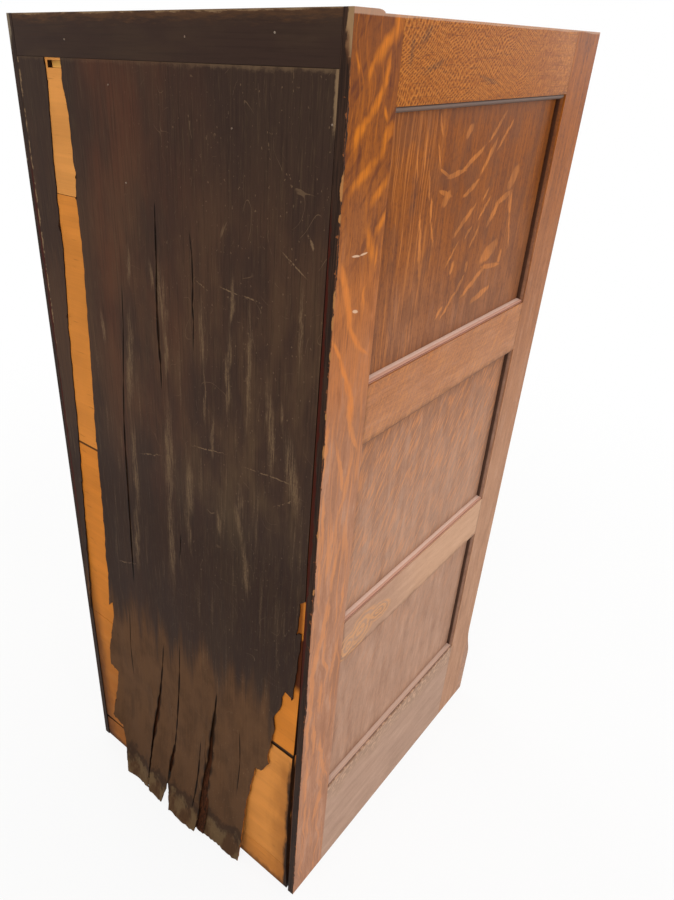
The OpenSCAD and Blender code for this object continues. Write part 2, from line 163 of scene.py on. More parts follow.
class Tint:
    """Colours of single layers and marks, which the panel doesn't offer."""
    rail_dirt = srgb(128, 94, 66)
    rail_lens = srgb(216, 172, 140)
    rail_amber = srgb(222, 142, 84)
    rail_ashen = srgb(198, 174, 156)
    rail_pale = srgb(232, 184, 146)
    joint_grime = srgb(104, 70, 50)
    gold = srgb(174, 95, 16)
    gold_deep = srgb(130, 67, 12)
    gold_front = srgb(148, 80, 34)
    smudge = srgb(84, 52, 34)
    lace = srgb(222, 144, 58)
    rail_ray_low = srgb(216, 158, 108)
    worn_dark = srgb(138, 98, 76)
    worn_pale = srgb(214, 174, 150)
    rubbed = srgb(206, 170, 144)
    stile_low = srgb(184, 133, 104)
    stile_ray_low = srgb(215, 143, 92)
    stile_glow = srgb(212, 128, 66)
    stile_line = srgb(222, 132, 62)
    stile_rear = srgb(58, 40, 30)
    stile_rear_dark = srgb(32, 22, 18)
    stile_inside = srgb(58, 26, 16)
    red_line = srgb(62, 18, 8)
    fleck = srgb(226, 188, 156)
    lip_bare = srgb(132, 78, 44)
    corner_bare = srgb(150, 120, 86)
    far_lip_bare = srgb(116, 102, 84)
    lip_chip = srgb(170, 116, 66)
    front_stile = srgb(172, 94, 24)
    front_stile_low = srgb(190, 144, 114)
    panel_ray = srgb(214, 130, 58)
    panel_ray_low = srgb(216, 150, 106)
    panel_grime = srgb(104, 66, 46)
    sheet_warm = srgb(92, 62, 42)
    sheet_low = srgb(38, 18, 5)
    sheet_tip = srgb(104, 84, 58)
    back_rail_arris = srgb(92, 62, 38)
    board_shade = srgb(112, 62, 22)
    # Painted shade by the far stile and in the -X gap, and a painted shadow over the notch.
    board_far_edge = srgb(56, 26, 10)
    board_gap = srgb(58, 20, 10)
    board_notch = srgb(92, 42, 14)
    ply_dark = srgb(34, 20, 12)
    ply_light = srgb(74, 40, 22)
    iron = srgb(134, 120, 104)
    rust = srgb(90, 62, 46)
    # The ledge's pale colours are dust with painted light; the groove colours and the strip shade are
    # painted shade.
    ledge_foot = srgb(216, 172, 150)
    ledge_groove = srgb(140, 88, 72)
    ledge_bead = srgb(200, 150, 128)
    ledge_lip = srgb(228, 194, 176)
    ledge_low = srgb(190, 160, 142)
    ledge_low_groove = srgb(84, 60, 54)
    strip_shade = srgb(84, 50, 36)
    strip_high = srgb(122, 106, 98)
    strip_groove = srgb(40, 24, 18)


class CabinetSizes(bpy.types.PropertyGroup):
    """Sizes of the details that the solids leave out."""
    arris: length_setting("Arris", "Rounding along the edges of the boards", 0.0006)
    slice_x: length_setting("Slice width", "Width of the sheet's mesh faces", 0.009)
    slice_z: length_setting("Slice height", "Height of the sheet's mesh faces", 0.014)
    tooth: length_setting("Tooth", "Height of the splinters across the sheet's foot", 0.0024)
    fray: length_setting("Fray", "How far the sheet's long edges wander", 0.0009)
    lift: length_setting("Lift", "How far the sheet's torn edges stand off the boards", 0.0026)
    nail_d: length_setting("Nail", "Diameter of a nail's head", 0.0021)
    screw_d: length_setting("Screw", "Diameter of a pull screw's head", 0.0056)


class CabinetColours(bpy.types.PropertyGroup):
    """Colours of the finishes."""
    oak_high: colour_setting("Oak, high", "Oak near the top of the cabinet", 157, 87, 25)
    # Oak, low and Ray, low are dusty oak lightened by painted sheen.
    oak_low: colour_setting("Oak, low", "Faded, dusty oak near the floor", 182, 143, 120)
    oak_dark: colour_setting("Oak grain", "Dark grain of the oak", 96, 48, 24)
    ray: colour_setting("Ray", "Rays of the quarter-sawn oak", 212, 120, 24)
    ray_low: colour_setting("Ray, low", "Rays of the faded oak", 215, 151, 112)
    stain: colour_setting("Stain", "Dark stain on the back", 52, 37, 30)
    stain_red: colour_setting("Stain, red", "Red streaks in the stain", 77, 46, 32)
    dusty: colour_setting("Stain, dusty", "Grey-brown clouds in the stain", 87, 69, 48)
    worn: colour_setting("Worn sheet", "Foot of the back sheet, where the stain has gone", 90, 62, 40)
    scratch: colour_setting("Scratch", "Scratches in the stain", 132, 106, 78)
    board: colour_setting("Board", "Bare boards under the back sheet", 200, 117, 34)
    board_pale: colour_setting("Board, pale", "Paler boards under the back sheet", 206, 141, 74)
    bare: colour_setting("Inside wood", "Bare wood of the drawers and runners", 196, 158, 112)
    brass: colour_setting("Brass", "Brass of the pulls", 176, 140, 78)
    floor: colour_setting("Floor", "Floor of the stage", 236, 235, 233)


class Paint:
    """A value inside a material. Sums and products with it add the nodes that work them out."""

    def __init__(self, tree, socket):
        self.tree = tree
        self.socket = socket

    def node(self, kind, settings=(), inputs=(), output=0):
        made = self.tree.nodes.new(kind)
        for name, value in dict(settings).items():
            setattr(made, name, value)
        for name, value in dict(inputs).items():
            if isinstance(value, Paint):
                self.tree.links.new(value.socket, made.inputs[name])
            else:
                made.inputs[name].default_value = value
        return Paint(self.tree, made.outputs[output])

    def math(self, operation, *values):
        return self.node("ShaderNodeMath", {"operation": operation}, dict(enumerate((self,) + values)))

    def __add__(self, other):
        return self.math("ADD", other)

    def __sub__(self, other):
        return self.math("SUBTRACT", other)

    def __rsub__(self, other):
        return self * -1 + other

    def __mul__(self, other):
        return self.math("MULTIPLY", other)

    def __abs__(self):
        return self.math("ABSOLUTE")

    __radd__ = __add__
    __rmul__ = __mul__

    def folded(self, operation, others):
        """This and the others under one operation, two at a time."""
        found = self
        for other in others:
            found = found.math(operation, other)
        return found

    def largest(self, *others):
        return self.folded("MAXIMUM", others)

    def smallest(self, *others):
        return self.folded("MINIMUM", others)

    def step(self, low, high):
        """0 below low, 1 above high and smooth between; low may be the higher of the two."""
        if low > high:
            return 1 - self.step(high, low)
        return self.node("ShaderNodeMapRange", {"interpolation_type": "SMOOTHSTEP"},
                         {0: self, 1: low, 2: high, 3: 0.0, 4: 1.0})

    def split(self):
        parts = self.node("ShaderNodeSeparateXYZ", {}, {0: self})
        sockets = parts.socket.node.outputs
        return tuple(Paint(self.tree, socket) for socket in sockets)

    def join(self, second, third=0.0):
        return self.node("ShaderNodeCombineXYZ", {}, {0: self, 1: second, 2: third})

    def stretched(self, x, y, z):
        return self.node("ShaderNodeVectorMath", {"operation": "MULTIPLY"}, {0: self, 1: (x, y, z)})

    def noise(self, detail=2.0, rough=0.5, warp=0.0):
        return self.node("ShaderNodeTexNoise", {}, {"Vector": self, "Scale": 1.0, "Detail": detail,
                                                    "Roughness": rough, "Distortion": warp})

    def mix(self, first, second):
        """The first colour where this is 0, the second where it is 1."""
        return self.node("ShaderNodeMix", {"data_type": "RGBA"},
                         {0: self, 6: opaque(first), 7: opaque(second)}, output=2)


def opaque(colour):
    return colour if isinstance(colour, Paint) else tuple(colour) + (1.0,)


class Surface:
    """A material in the making: its place in millimetres, and the shader that it feeds."""

    def __init__(self, name, roughness, specular=0.35):
        self.material = bpy.data.materials.new(name)
        self.material.use_nodes = True
        self.tree = self.material.node_tree
        self.shader = self.tree.nodes["Principled BSDF"]
        self.shader.inputs["Roughness"].default_value = roughness
        self.shader.inputs["Specular IOR Level"].default_value = specular
        coordinates = self.tree.nodes.new("ShaderNodeTexCoord")
        self.place = Paint(self.tree, coordinates.outputs["Object"]).stretched(MM, MM, MM)
        self.x, self.y, self.z = self.place.split()

    def flat(self, axes, first, second, third=0.0):
        """The place on two axes, each scaled, for a pattern that runs through along the other."""
        across, up = (getattr(self, axis) for axis in axes)
        return (across * first).join(up * second, third)

    def feed(self, socket, paint):
        self.tree.links.new(paint.socket, self.shader.inputs[socket])

    def relief(self, height, depth):
        """Bumps, depth metres high where height is 1."""
        bump = height.node("ShaderNodeBump", {}, {"Strength": 1.0, "Distance": depth, "Height": height})
        self.feed("Normal", bump)


# Marks on the wood in mm: the middle's two coordinates, length, width, degrees from level.
# On the sides the first coordinate is Y, on the back and on a stile's rear lip it is X; the second is Z.
PANEL_FLAMES = (
    (94, 1187, 36, 3.4, 67), (75, 1168, 41, 4.6, 23), (47, 1165, 58, 7.4, 175), (8, 1178, 71, 7.6, 156),
    (-47, 1211, 59, 7.1, 138), (-72, 1200, 61, 6.2, 136), (-34, 1177, 62, 9.8, 132),
    (-121, 1144, 44, 22, 133), (2, 1144, 48, 8, 155), (68, 1145, 39, 7, 16), (64, 1139, 26, 13.7, 134),
    (-44, 1132, 24, 6.3, 126), (-45, 1114, 45, 5.3, 134), (7, 1106, 72, 9.5, 146),
    (-102, 1121, 58, 10.1, 166), (-76, 1104, 51, 11.4, 132), (-125, 1113, 43, 12.1, 73),
    (-139, 1072, 63, 5.2, 70), (-82, 1052, 60, 24, 157), (-123, 1039, 23, 10.1, 98),
    (-96, 1030, 71, 8, 6), (-48, 1018, 87, 9.7, 154), (-77, 993, 68, 11.9, 168),
    (-28, 1080, 37, 5.6, 128), (28, 1068, 46, 5.2, 130), (-5, 1020, 44, 7.1, 135),
    (20, 998, 49, 7, 137), (-19, 1043, 18, 9, 92), (-9, 1089, 25, 5, 138), (110, 1160, 42, 4.7, 75),
    (98, 1129, 36, 5.6, 79), (89, 1103, 45, 5.2, 66), (114, 1088, 95, 7.4, 78), (99, 1220, 32, 4.4, 65),
    (128, 1199, 58, 4.1, 85), (142, 1182, 46, 3.9, 78), (24, 1050, 20, 9, 111), (42, 994, 25, 7.6, 137),
    (29, 1210, 23, 12, 127),
)
STILE_BANDS = (
    (222, 1309, 44, 22, 113), (242, 1292, 66, 19, 139), (261, 1275, 40, 13, 122),
    (237, 1270, 48, 15.4, 113), (249, 1249, 57, 16.8, 123), (270, 1223, 66, 17.3, 134),
    (223, 1214, 55, 16.6, 126), (230, 1236, 24, 7.7, 58), (286, 1280, 24, 7.5, 75),
    (276, 1221, 49, 12.8, 140), (225, 1217, 43, 16.2, 125), (263, 1183, 86, 16.8, 149),
    (231, 1169, 58, 17.6, 140), (221, 1136, 44, 18.4, 122), (238, 1115, 62, 22, 69),
    (277, 1078, 74, 15.4, 72), (271, 1057, 70, 12.7, 78), (255, 1020, 64, 9.3, 55),
    (232, 999, 36, 6, 36), (283, 1012, 55, 7, 58), (264, 981, 66, 8.5, 56), (249, 944, 70, 12.7, 80),
    (226, 1101, 42, 8.7, 89), (206, 1062, 52, 9.7, 104), (240, 1062, 40, 8.7, 91),
)
STILE_STRANDS = (
    (249, 920, 70, 12, 78), (234, 888, 68, 10, 65), (294, 894, 108, 11, 93), (260, 858, 114, 9, 72),
    (288, 797, 110, 10, 87), (243, 828, 114, 11, 101), (268, 738, 113, 12, 93), (286, 697, 120, 10, 89),
    (252, 707, 114, 11, 96), (265, 612, 123, 15, 99), (274, 577, 142, 13, 100), (285, 529, 144, 13, 95),
    (286, 425, 183, 12, 93), (243, 316, 153, 11, 79), (270, 386, 117, 10, 88), (283, 286, 134, 14, 93),
    (244, 197, 104, 16, 103), (236, 520, 90, 12, 96), (262, 470, 90, 14, 84), (226, 640, 80, 9, 92),
)
STILE_SHADES = (
    (222, 483, 145, 37.8, 92), (248, 378, 108, 23.3, 88),
    (224, 1054, 45, 16.7, 70), (219, 1019, 40, 19.6, 69), (248, 1047, 37, 8.9, 74), (274, 955, 40, 9.1, 77),
)
STILE_LINES = (
    (284, 1093, 38, 13.7, 62), (274, 1069, 51, 14.1, 71), (265, 1041, 44, 12.1, 71),
    (248, 1014, 56, 9.5, 48), (283, 1012, 37, 7.3, 60), (270, 988, 47, 10.6, 59),
    (257, 962, 48, 13.0, 66), (248, 934, 52, 14.8, 75),
)
LIP_CHIPS = tuple((-260.4, height, length, width, 90) for height, length, width in (
    (1179, 30, 5), (1150, 12, 5), (1071, 26, 4), (1046, 20, 3), (1011, 14, 3), (940, 10, 3.4),
    (896, 22, 3), (780, 14, 3), (690, 12, 3.4),
))
STILE_FLECKS = ((263, 1109, 18, 2.8, 8), (249, 1109, 16, 2.5, 177), (256, 1050, 13, 4.5, 17))
RAIL_SMUDGES = (
    (171, 1303, 34, 14, 150), (196, 1290, 40, 10, 100), (150, 1276, 60, 7, 165), (20, 1262, 70, 6, 10),
)
RAIL_EYES = ((166, 535, 98, 65.3, 156), (117, 539, 76, 37.6, 9), (198, 525, 63, 49.6, 143))
SHEET_SMEARS = (
    (59, 1046, 68, 11.5, 93), (74, 905, 223, 19.3, 97), (80, 736, 225, 17.9, 91),
    (0, 1017, 110, 27, 87), (-3, 944, 96, 9.7, 91), (3, 783, 257, 22.5, 93), (-71, 987, 112, 14.4, 90),
    (-71, 906, 100, 6.7, 92), (-120, 1036, 84, 10.1, 96), (-113, 947, 156, 13.6, 93),
    (-220, 1030, 123, 7.8, 89), (-147, 960, 215, 10.4, 91), (-182, 893, 171, 17.1, 86),
    (-198, 923, 38, 6.3, 86), (-37, 750, 133, 22.2, 91), (17, 1043, 47, 9.6, 86),
    (126, 948, 63, 9.9, 85), (-133, 774, 74, 15.2, 87), (-85, 851, 82, 8.9, 93),
    (-217, 846, 149, 26.7, 80), (8, 634, 228, 19.9, 90), (91, 603, 183, 16.2, 94),
    (-31, 683, 115, 14.3, 87), (-94, 718, 55, 13, 85), (-144, 663, 127, 14.7, 84),
    (-130, 738, 89, 14.7, 81),
)
SHEET_SCRATCHES = (
    (-117, 1050, 42, 2.4, 6), (-150, 1048, 40, 2.4, 6), (-77, 829, 89, 2.6, 170),
    (-183, 832, 115, 2.6, 175), (-207, 1097, 54, 2.6, 33), (41, 776, 71, 2.4, 162),
    (-228, 1122, 22, 5, 64), (-73, 1047, 27, 2.4, 23), (125, 534, 78, 3, 159),
    (-206, 802, 56, 2.4, 142),
)


def contours(field, count, width):
    """Lines along the level curves of a smooth field, as rays of oak run."""
    ridge = 1 - abs((field * count).math("FRACT") * 2 - 1)
    return ridge.step(1 - width, 1 - width * 0.6)


def along_grain(surface, run):
    """The surface's place as (along the grain, across, through), for grain along axis run."""
    order = {"x": (surface.x, surface.z, surface.y), "y": (surface.y, surface.z, surface.x),
             "z": (surface.z, surface.y, surface.x)}[run]
    return order[0].join(order[1], order[2])


def leaning(s, degrees):
    """Place on a side as (across, along) rays that climb towards the front at this angle."""
    turn = math.radians(degrees)
    return s.y * math.sin(turn) + s.z * math.cos(turn), s.z * math.sin(turn) - s.y * math.cos(turn)


def weave(across, pitch):
    """Fine parallel lines, 0 between them and 1 along each."""
    return 1 - abs((across * (1 / pitch)).math("FRACT") * 2 - 1)


def ovals(place, marks):
    """1 at the middle of each mark, falling evenly to 0 at its outline."""
    found = []
    for first, second, length, width, degrees in marks:
        local = place.node("ShaderNodeMapping", {"vector_type": "TEXTURE"},
                           {"Vector": place, "Location": (first, second, 0),
                            "Rotation": (0, 0, math.radians(degrees)), "Scale": (length / 2, width / 2, 1)})
        oval = local.node("ShaderNodeTexGradient", {"gradient_type": "SPHERICAL"}, {"Vector": local}, 1)
        found.append(oval)
    return found[0].largest(*found[1:])


def from_stiles(s):
    """How far a place on a side lies from the nearer stile."""
    return (s.y - PANEL_FRONT).smallest(PANEL_REAR - s.y)


def from_frame_edges(s):
    """How far a place on a side lies from its panel's bottom edge, its top edge and the nearer stile."""
    above = (s.z - PANEL_LOW).math("MODULO", PANEL_PITCH)
    return above, PANEL_TALL - above, from_stiles(s)


def wandering(first, second, reach, swing):
    """A place on a face whose first coordinate sways by swing mm over waves reach mm long."""
    sway = (first * (1 / reach)).join(second * (1 / reach)).noise(3.0, 0.6) - 0.5
    return (first + sway * swing).join(second + sway * (swing * 0.5))


def flame_rays(s):
    """Upright threads at the rear, and hooked rays that climb forward, as on the top panel."""
    flames = ovals(wandering(s.y, s.z, 16, 9), PANEL_FLAMES).step(0.0, 0.34)
    sway = s.flat("zy", 0.012, 0.02).noise(1.0) * 14
    threads = ((s.y + sway) * 0.3).join(s.z * 0.007, 5.0).noise(1.0).step(0.54, 0.62) * s.y.step(60, 120)
    return flames.largest(threads * 0.6) * 0.8


def fine_rays(s):
    """Short thin rays that climb forward."""
    across, along = leaning(s, 56)
    return (across * 0.24).join(along * 0.026).noise(2.0, 0.6, 0.3).step(0.47, 0.62) * 0.85


def panel_rays(s):
    """Flames on the top panel, and fine rays on the panels below, fainter towards the floor."""
    top = s.z.step(SECOND_RAIL + 33, SECOND_RAIL + 43)
    return flame_rays(s) * top + fine_rays(s) * (1 - top) * (s.z.step(300, 800) * 0.7 + 0.3), None


def band_rays(s):
    """Broad soft bands that climb forward, with dark shades between; upright wavy strands further down."""
    high = s.z.step(820, 1000)
    across, along = leaning(s, 48)
    place = wandering(s.y, s.z, 40, 22)
    rising = (across * 0.06).join(along * 0.011, 1.7).noise(3.0, 0.6, 0.4)
    wander = s.flat("zy", 0.014, 0.01).noise(1.0) * 34
    strands = ((s.y + wander) * 0.16).join(s.z * 0.0085, 2.0).noise(2.0, 0.5, 0.6)
    torn = s.flat("yz", 0.8, 0.03).noise(2.0, 0.6)
    marks = ovals(place, STILE_BANDS).largest(ovals(place, STILE_STRANDS) * 1.6)
    drawn = (marks + (torn - 0.5) * 0.6).step(0.0, 0.9) * marks.step(0.0, 0.15) * 0.95
    bright = drawn.largest(strands.step(0.52, 0.64) * (1 - high * 0.65) * 0.8)
    shade = rising.step(0.52, 0.36) * s.z.step(880, 1130) * 0.85
    shade = shade + strands.step(0.44, 0.34) * (1 - high) * 0.6
    shade = shade.largest(ovals(place, STILE_SHADES).step(0.0, 0.6), s.z.step(1170, 1320) * 0.4)
    return bright, shade * (1 - drawn)


def lace_rays(s):
    """The close crossed lines of the top rail, and wavy scales at its front."""
    sway = s.flat("yz", 0.011, 0.016).noise(2.0, 0.5) * 40
    one = weave(leaning(s, 38)[0] + sway, 3.7)
    two = weave(s.z * 0.9 - s.y * 0.42 + sway * 0.7, 5.2)
    breaks = s.flat("yz", 0.09, 0.16, 2.0).noise(2.0, 0.6).step(0.35, 0.55)
    lace = one.step(0.5, 0.9).largest(two.step(0.6, 0.95) * 0.6) * (breaks * 0.6 + 0.4)
    across, along = leaning(s, 60)
    scales = contours((across * 0.13).join(along * 0.06).noise(1.0, 0.5, 1.2), 5.0, 0.6)
    front = (s.y + sway * 0.6).step(-60, -110)
    bright = lace * (1 - front) * 0.6 + scales * front * 0.35
    shade = one.step(0.4, 0.05) * two.step(0.6, 0.2) * (1 - front) * 0.6 + (1 - scales) * front * 0.15
    return bright, shade


def on_top_rail(s):
    return s.z.step(TOP_RAIL - 7, TOP_RAIL + 3)


def rail_rays(s):
    """Lace on the top rail, arched rays at the rear of the third, and fine ones on the second."""
    nested = ovals(wandering(s.y, s.z, 22, 22), RAIL_EYES)
    arches = contours(nested, 3.0, 0.7) * nested.step(0.0, 0.25)
    arches = arches.largest(fine_rays(s) * s.z.step(700, 780) * 0.6)
    top = on_top_rail(s)
    bright, shade = lace_rays(s)
    return bright * top + arches * s.z.step(PANEL_LOW + 5, PANEL_LOW + 15) * (1 - top), shade * top


def rail_ground(s, wood):
    """The rails' ground: golden, amber, pale with painted sheen towards the front and, lowest, dirty with
    lens marks;
    painted shade and dirt at their joints.
    """
    lens = (s.y * 0.11 + s.z * 0.08).join(s.z * 0.14).noise(2.0, 0.6).step(0.48, 0.6)
    drift = s.flat("yz", 0.02, 0.02).noise(2.0) * 70
    dirty = (s.z + drift).step(PANEL_LOW - 25, PANEL_LOW + 25) * s.z.step(PANEL_LOW + 15, PANEL_LOW + 5)
    wood = (dirty * 0.5).mix(wood, Tint.rail_dirt)
    wood = (dirty * lens * 0.7).mix(wood, Tint.rail_lens)
    speckle = s.place.stretched(0.5, 0.3, 0.3).noise(2.0, 0.7).step(0.6, 0.42)
    amber = s.z.step(SECOND_RAIL - 12, SECOND_RAIL - 2) * (1 - speckle * 0.6)
    wood = (amber * 0.34).mix(wood, Tint.rail_amber)
    wood = (s.z.step(PANEL_LOW + 5, PANEL_LOW - 10) * 0.25).mix(wood, Tint.rail_ashen)
    # Rail 3 paler, most towards the front: painted sheen.
    third = s.z.step(THIRD_RAIL - 12, THIRD_RAIL - 2) * s.z.step(THIRD_RAIL + 88, THIRD_RAIL + 78)
    wood = (third * (s.y.step(140, -60) * 0.35 + 0.1)).mix(wood, Tint.rail_pale)
    # Painted shade with dirt along the rails' lower edges over the recessed panels, and beside the stiles.
    over_edge = (s.z - THIRD_RAIL).math("FLOORED_MODULO", PANEL_PITCH)
    beside = from_stiles(s)
    ragged = (s.place.stretched(0.05, 0.05, 0.05).noise(3.0, 0.6) - 0.5) * 16
    shade_and_grime = (over_edge + ragged).step(9, -1).largest((beside + ragged * 0.6).step(7, -1))
    shade_and_grime = shade_and_grime * s.z.step(THIRD_RAIL - 22, THIRD_RAIL - 2)
    wood = (shade_and_grime * 0.5).mix(wood, Tint.joint_grime)
    gold = speckle.mix(Tint.gold, Tint.gold_deep)
    gold = s.y.step(-60, -190).mix(gold, Tint.gold_front)
    smudge = ovals(wandering(s.y, s.z, 20, 14), RAIL_SMUDGES).step(0.0, 0.6)
    gold = (smudge * 0.7).mix(gold, Tint.smudge)
    golden = s.z.step(TOP_RAIL - 1, TOP_RAIL + 1) * s.y.step(-215, -120)
    return (golden * 0.85).mix(wood, gold)


def plain_rays(s):
    """A few faint upright rays."""
    return s.flat("yz", 0.5, 0.006).noise(2.0).step(0.58, 0.72) * 0.25, None


def front_rays(s):
    """Long flat rays on the rails, plinth and drawer fronts."""
    field = (s.x * 0.02 + s.z * 0.012).join(s.z * 0.05).noise(1.0, 0.4, 0.8)
    gate = s.flat("xz", 0.015, 0.02, 3.0).noise(1.0).step(0.45, 0.6)
    return contours(field, 9.0, 0.3) * gate * 0.6, None


def oak(name, run, rays, colours, fade=SIDE_FADE, ground=None, figure=None):
    """Quarter-sawn oak under old shellac.

    run is the axis of its grain, rays draws its figure, fade says where it pales with dust and painted
    sheen, and ground and figure are pairs of colours, near the top and near the floor. Returns the surface,
    its colour and its fibres.
    """
    s = Surface(name, 0.46, 0.05)
    high, low = ground or (colours.oak_high, colours.oak_low)
    ray_high, ray_low = figure or (colours.ray, colours.ray_low)
    grain = along_grain(s, run)
    fibres = grain.stretched(0.02, 0.9, 0.9).noise(4.0, 0.65)
    cords = grain.stretched(0.011, 0.24, 0.24).noise(3.0, 0.6, 0.2)
    growth = grain.stretched(0.009, 0.06, 0.06).noise(3.0, 0.6, 0.3)
    mottle = s.place.stretched(0.22, 0.22, 0.14).noise(3.0, 0.7)
    clouds = s.place.stretched(0.012, 0.012, 0.008).noise(2.0)
    # Pale low down from dust with painted sheen, and paler towards the front from painted sheen alone.
    golden_height, faded_height, front_sheen = fade
    faded_and_sheen = (s.z + s.y * front_sheen + (clouds - 0.5) * 160).step(golden_height, faded_height)
    dark = (faded_and_sheen * 0.6).mix(colours.oak_dark, low)
    streaks = (fibres.step(0.6, 0.34) * 0.34 + cords.step(0.54, 0.36) * 0.26
               + growth.step(0.56, 0.36) * 0.3 + mottle.step(0.52, 0.36) * 0.3)
    wood = (streaks * (1 - faded_and_sheen * 0.3)).mix(faded_and_sheen.mix(high, low), dark)
    worn = grain.stretched(0.012, 0.05, 0.05).noise(5.0, 0.65)
    wood = (faded_and_sheen * worn.step(0.5, 0.34) * 0.35).mix(wood, Tint.worn_dark)
    wood = (faded_and_sheen * worn.step(0.5, 0.68) * 0.28).mix(wood, Tint.worn_pale)
    if rays is rail_rays:
        wood = rail_ground(s, wood)
    bright, shade = rays(s)
    if shade:
        wood = (shade * (0.95 - faded_and_sheen * 0.35)).mix(wood, dark)
    drawn = bright * 0.9 * (1 - faded_and_sheen * 0.2) * (cords.step(0.34, 0.56) * 0.45 + 0.55)
    ray = faded_and_sheen.mix(ray_high, ray_low)
    if rays is rail_rays:
        ray = on_top_rail(s).mix(ray, Tint.lace)
    wood = drawn.mix(wood, ray)
    pores = grain.stretched(0.02, 0.45, 0.45).noise(3.0, 0.7).step(0.48, 0.34)
    wood = (pores * 0.4 * (1 - faded_and_sheen * 0.5)).mix(wood, dark)
    rubbed = (s.z + (clouds - 0.5) * 5 + fibres).step(FRAME_TOP - 2.4, FRAME_TOP - 1.2)
    wood = (rubbed * 0.5).mix(wood, Tint.rubbed)
    s.feed("Base Color", wood)
    s.feed("Roughness", fibres * 0.16 + faded_and_sheen * 0.12 + 0.36)
    s.relief(fibres * 0.6 + drawn * 0.4, 0.00012)
    return s, wood, fibres


def stile_oak(name, colours):
    """A rear stile: dark stain on its rear edge, with a chipped boundary and a worn upper corner."""
    s, wood, fibres = oak(name, "z", band_rays, colours, fade=STILE_FADE,
                          ground=(colours.oak_high, Tint.stile_low),
                          figure=(colours.ray, Tint.stile_ray_low))
    glow = s.z.step(900, 980) * s.z.step(1130, 1060) * fibres.step(0.3, 0.6)
    wood = (glow * 0.45).mix(wood, Tint.stile_glow)
    lines = ovals(wandering(s.y, s.z, 34, 8), STILE_LINES).step(-0.05, 0.6)
    lines = lines * (fibres.step(0.35, 0.6) * 0.6 + 0.4)
    wood = (lines * 0.55).mix(wood, Tint.stile_line)
    drift = s.place.stretched(0.03, 0.03, 0.012).noise(2.0) - 0.5
    chips = s.place.stretched(0.2, 0.2, 0.08).noise(3.0, 0.65) - 0.5
    rear = (s.y + (drift * 12 + chips * 10).largest(-0.4)).step(BACK_FACE - 1.6, BACK_FACE - 0.7)
    far_flank = s.x.step(0, 10) * s.y.step(BACK_FACE - 9, BACK_FACE - 7)
    stain = fibres.step(0.35, 0.65).mix(Tint.stile_rear, Tint.stile_rear_dark)
    wood = rear.largest(far_flank).mix(wood, stain)
    # Painted shade on the stile's inner part, beside the back boards.
    inside = abs(s.x).step(SIDE_FACE - 19, SIDE_FACE - 20)
    wood = (inside * 0.9).mix(wood, Tint.stile_inside)
    edge = abs(s.x) + chips * 8 + drift * 5 - SIDE_FACE
    inner_line = (edge + drift * 3).step(-7, -8.5) * s.z.step(430, 520) * s.z.step(1180, 1120)
    wood = (inner_line * rear * 0.85).mix(wood, Tint.red_line)
    flecks = ovals(wandering(s.y, s.z, 8, 4), STILE_FLECKS).step(0.0, 0.4)
    wood = (flecks * 0.8).mix(wood, Tint.fleck)
    corner = (s.z + drift * 40 + edge * 3).step(1262, 1290) * 0.9
    spikes = s.flat("zx", 0.11, 0.06).noise(3.0, 0.7).step(0.56, 0.76)
    chipped = (abs(s.x) + spikes * 6 + chips * 3 - SIDE_FACE).step(-0.5, 0.6) * 0.8
    worn = chipped.largest(corner * edge.step(-7, -5)) * s.y.step(BACK_FACE - 0.8, BACK_FACE - 0.4)
    bare = s.x.step(-10, 10).mix(corner.mix(Tint.lip_bare, Tint.corner_bare), Tint.far_lip_bare)
    wood = worn.mix(wood, bare)
    slivers = ovals(wandering(s.x, s.z, 6, 2), LIP_CHIPS)
    slivers = (slivers + chips * 1.6).step(0.1, 0.4) * slivers.step(0.0, 0.1)
    slivers = slivers * s.y.step(BACK_FACE - 3, BACK_FACE - 1.5)
    s.feed("Base Color", (slivers * 0.9).mix(wood, Tint.lip_chip))
    return s.material


def plain_oak(name, run, rays, colours, **look):
    """The material of oak that needs nothing more."""
    return oak(name, run, rays, colours, **look)[0].material


def panel_oak(name, colours):
    """The panels: oak with brown clouds, and painted shade with dirt along their edges."""
    s, wood = oak(name, "z", panel_rays, colours, fade=PANEL_FADE,
                  figure=(Tint.panel_ray, Tint.panel_ray_low))[:2]
    above, below, beside = from_frame_edges(s)
    ragged = s.place.stretched(0.03, 0.03, 0.02).noise(3.0, 0.6)
    # Painted shade with dirt near the panel's edges, by the mouldings.
    shade_and_grime = (above.smallest(below, beside) + (ragged - 0.5) * 30).step(26, 4) * 0.3
    brown = ragged.step(0.46, 0.64) * s.z.step(700, 1000) * 0.35
    s.feed("Base Color", shade_and_grime.largest(brown).mix(wood, Tint.panel_grime))
    return s.material


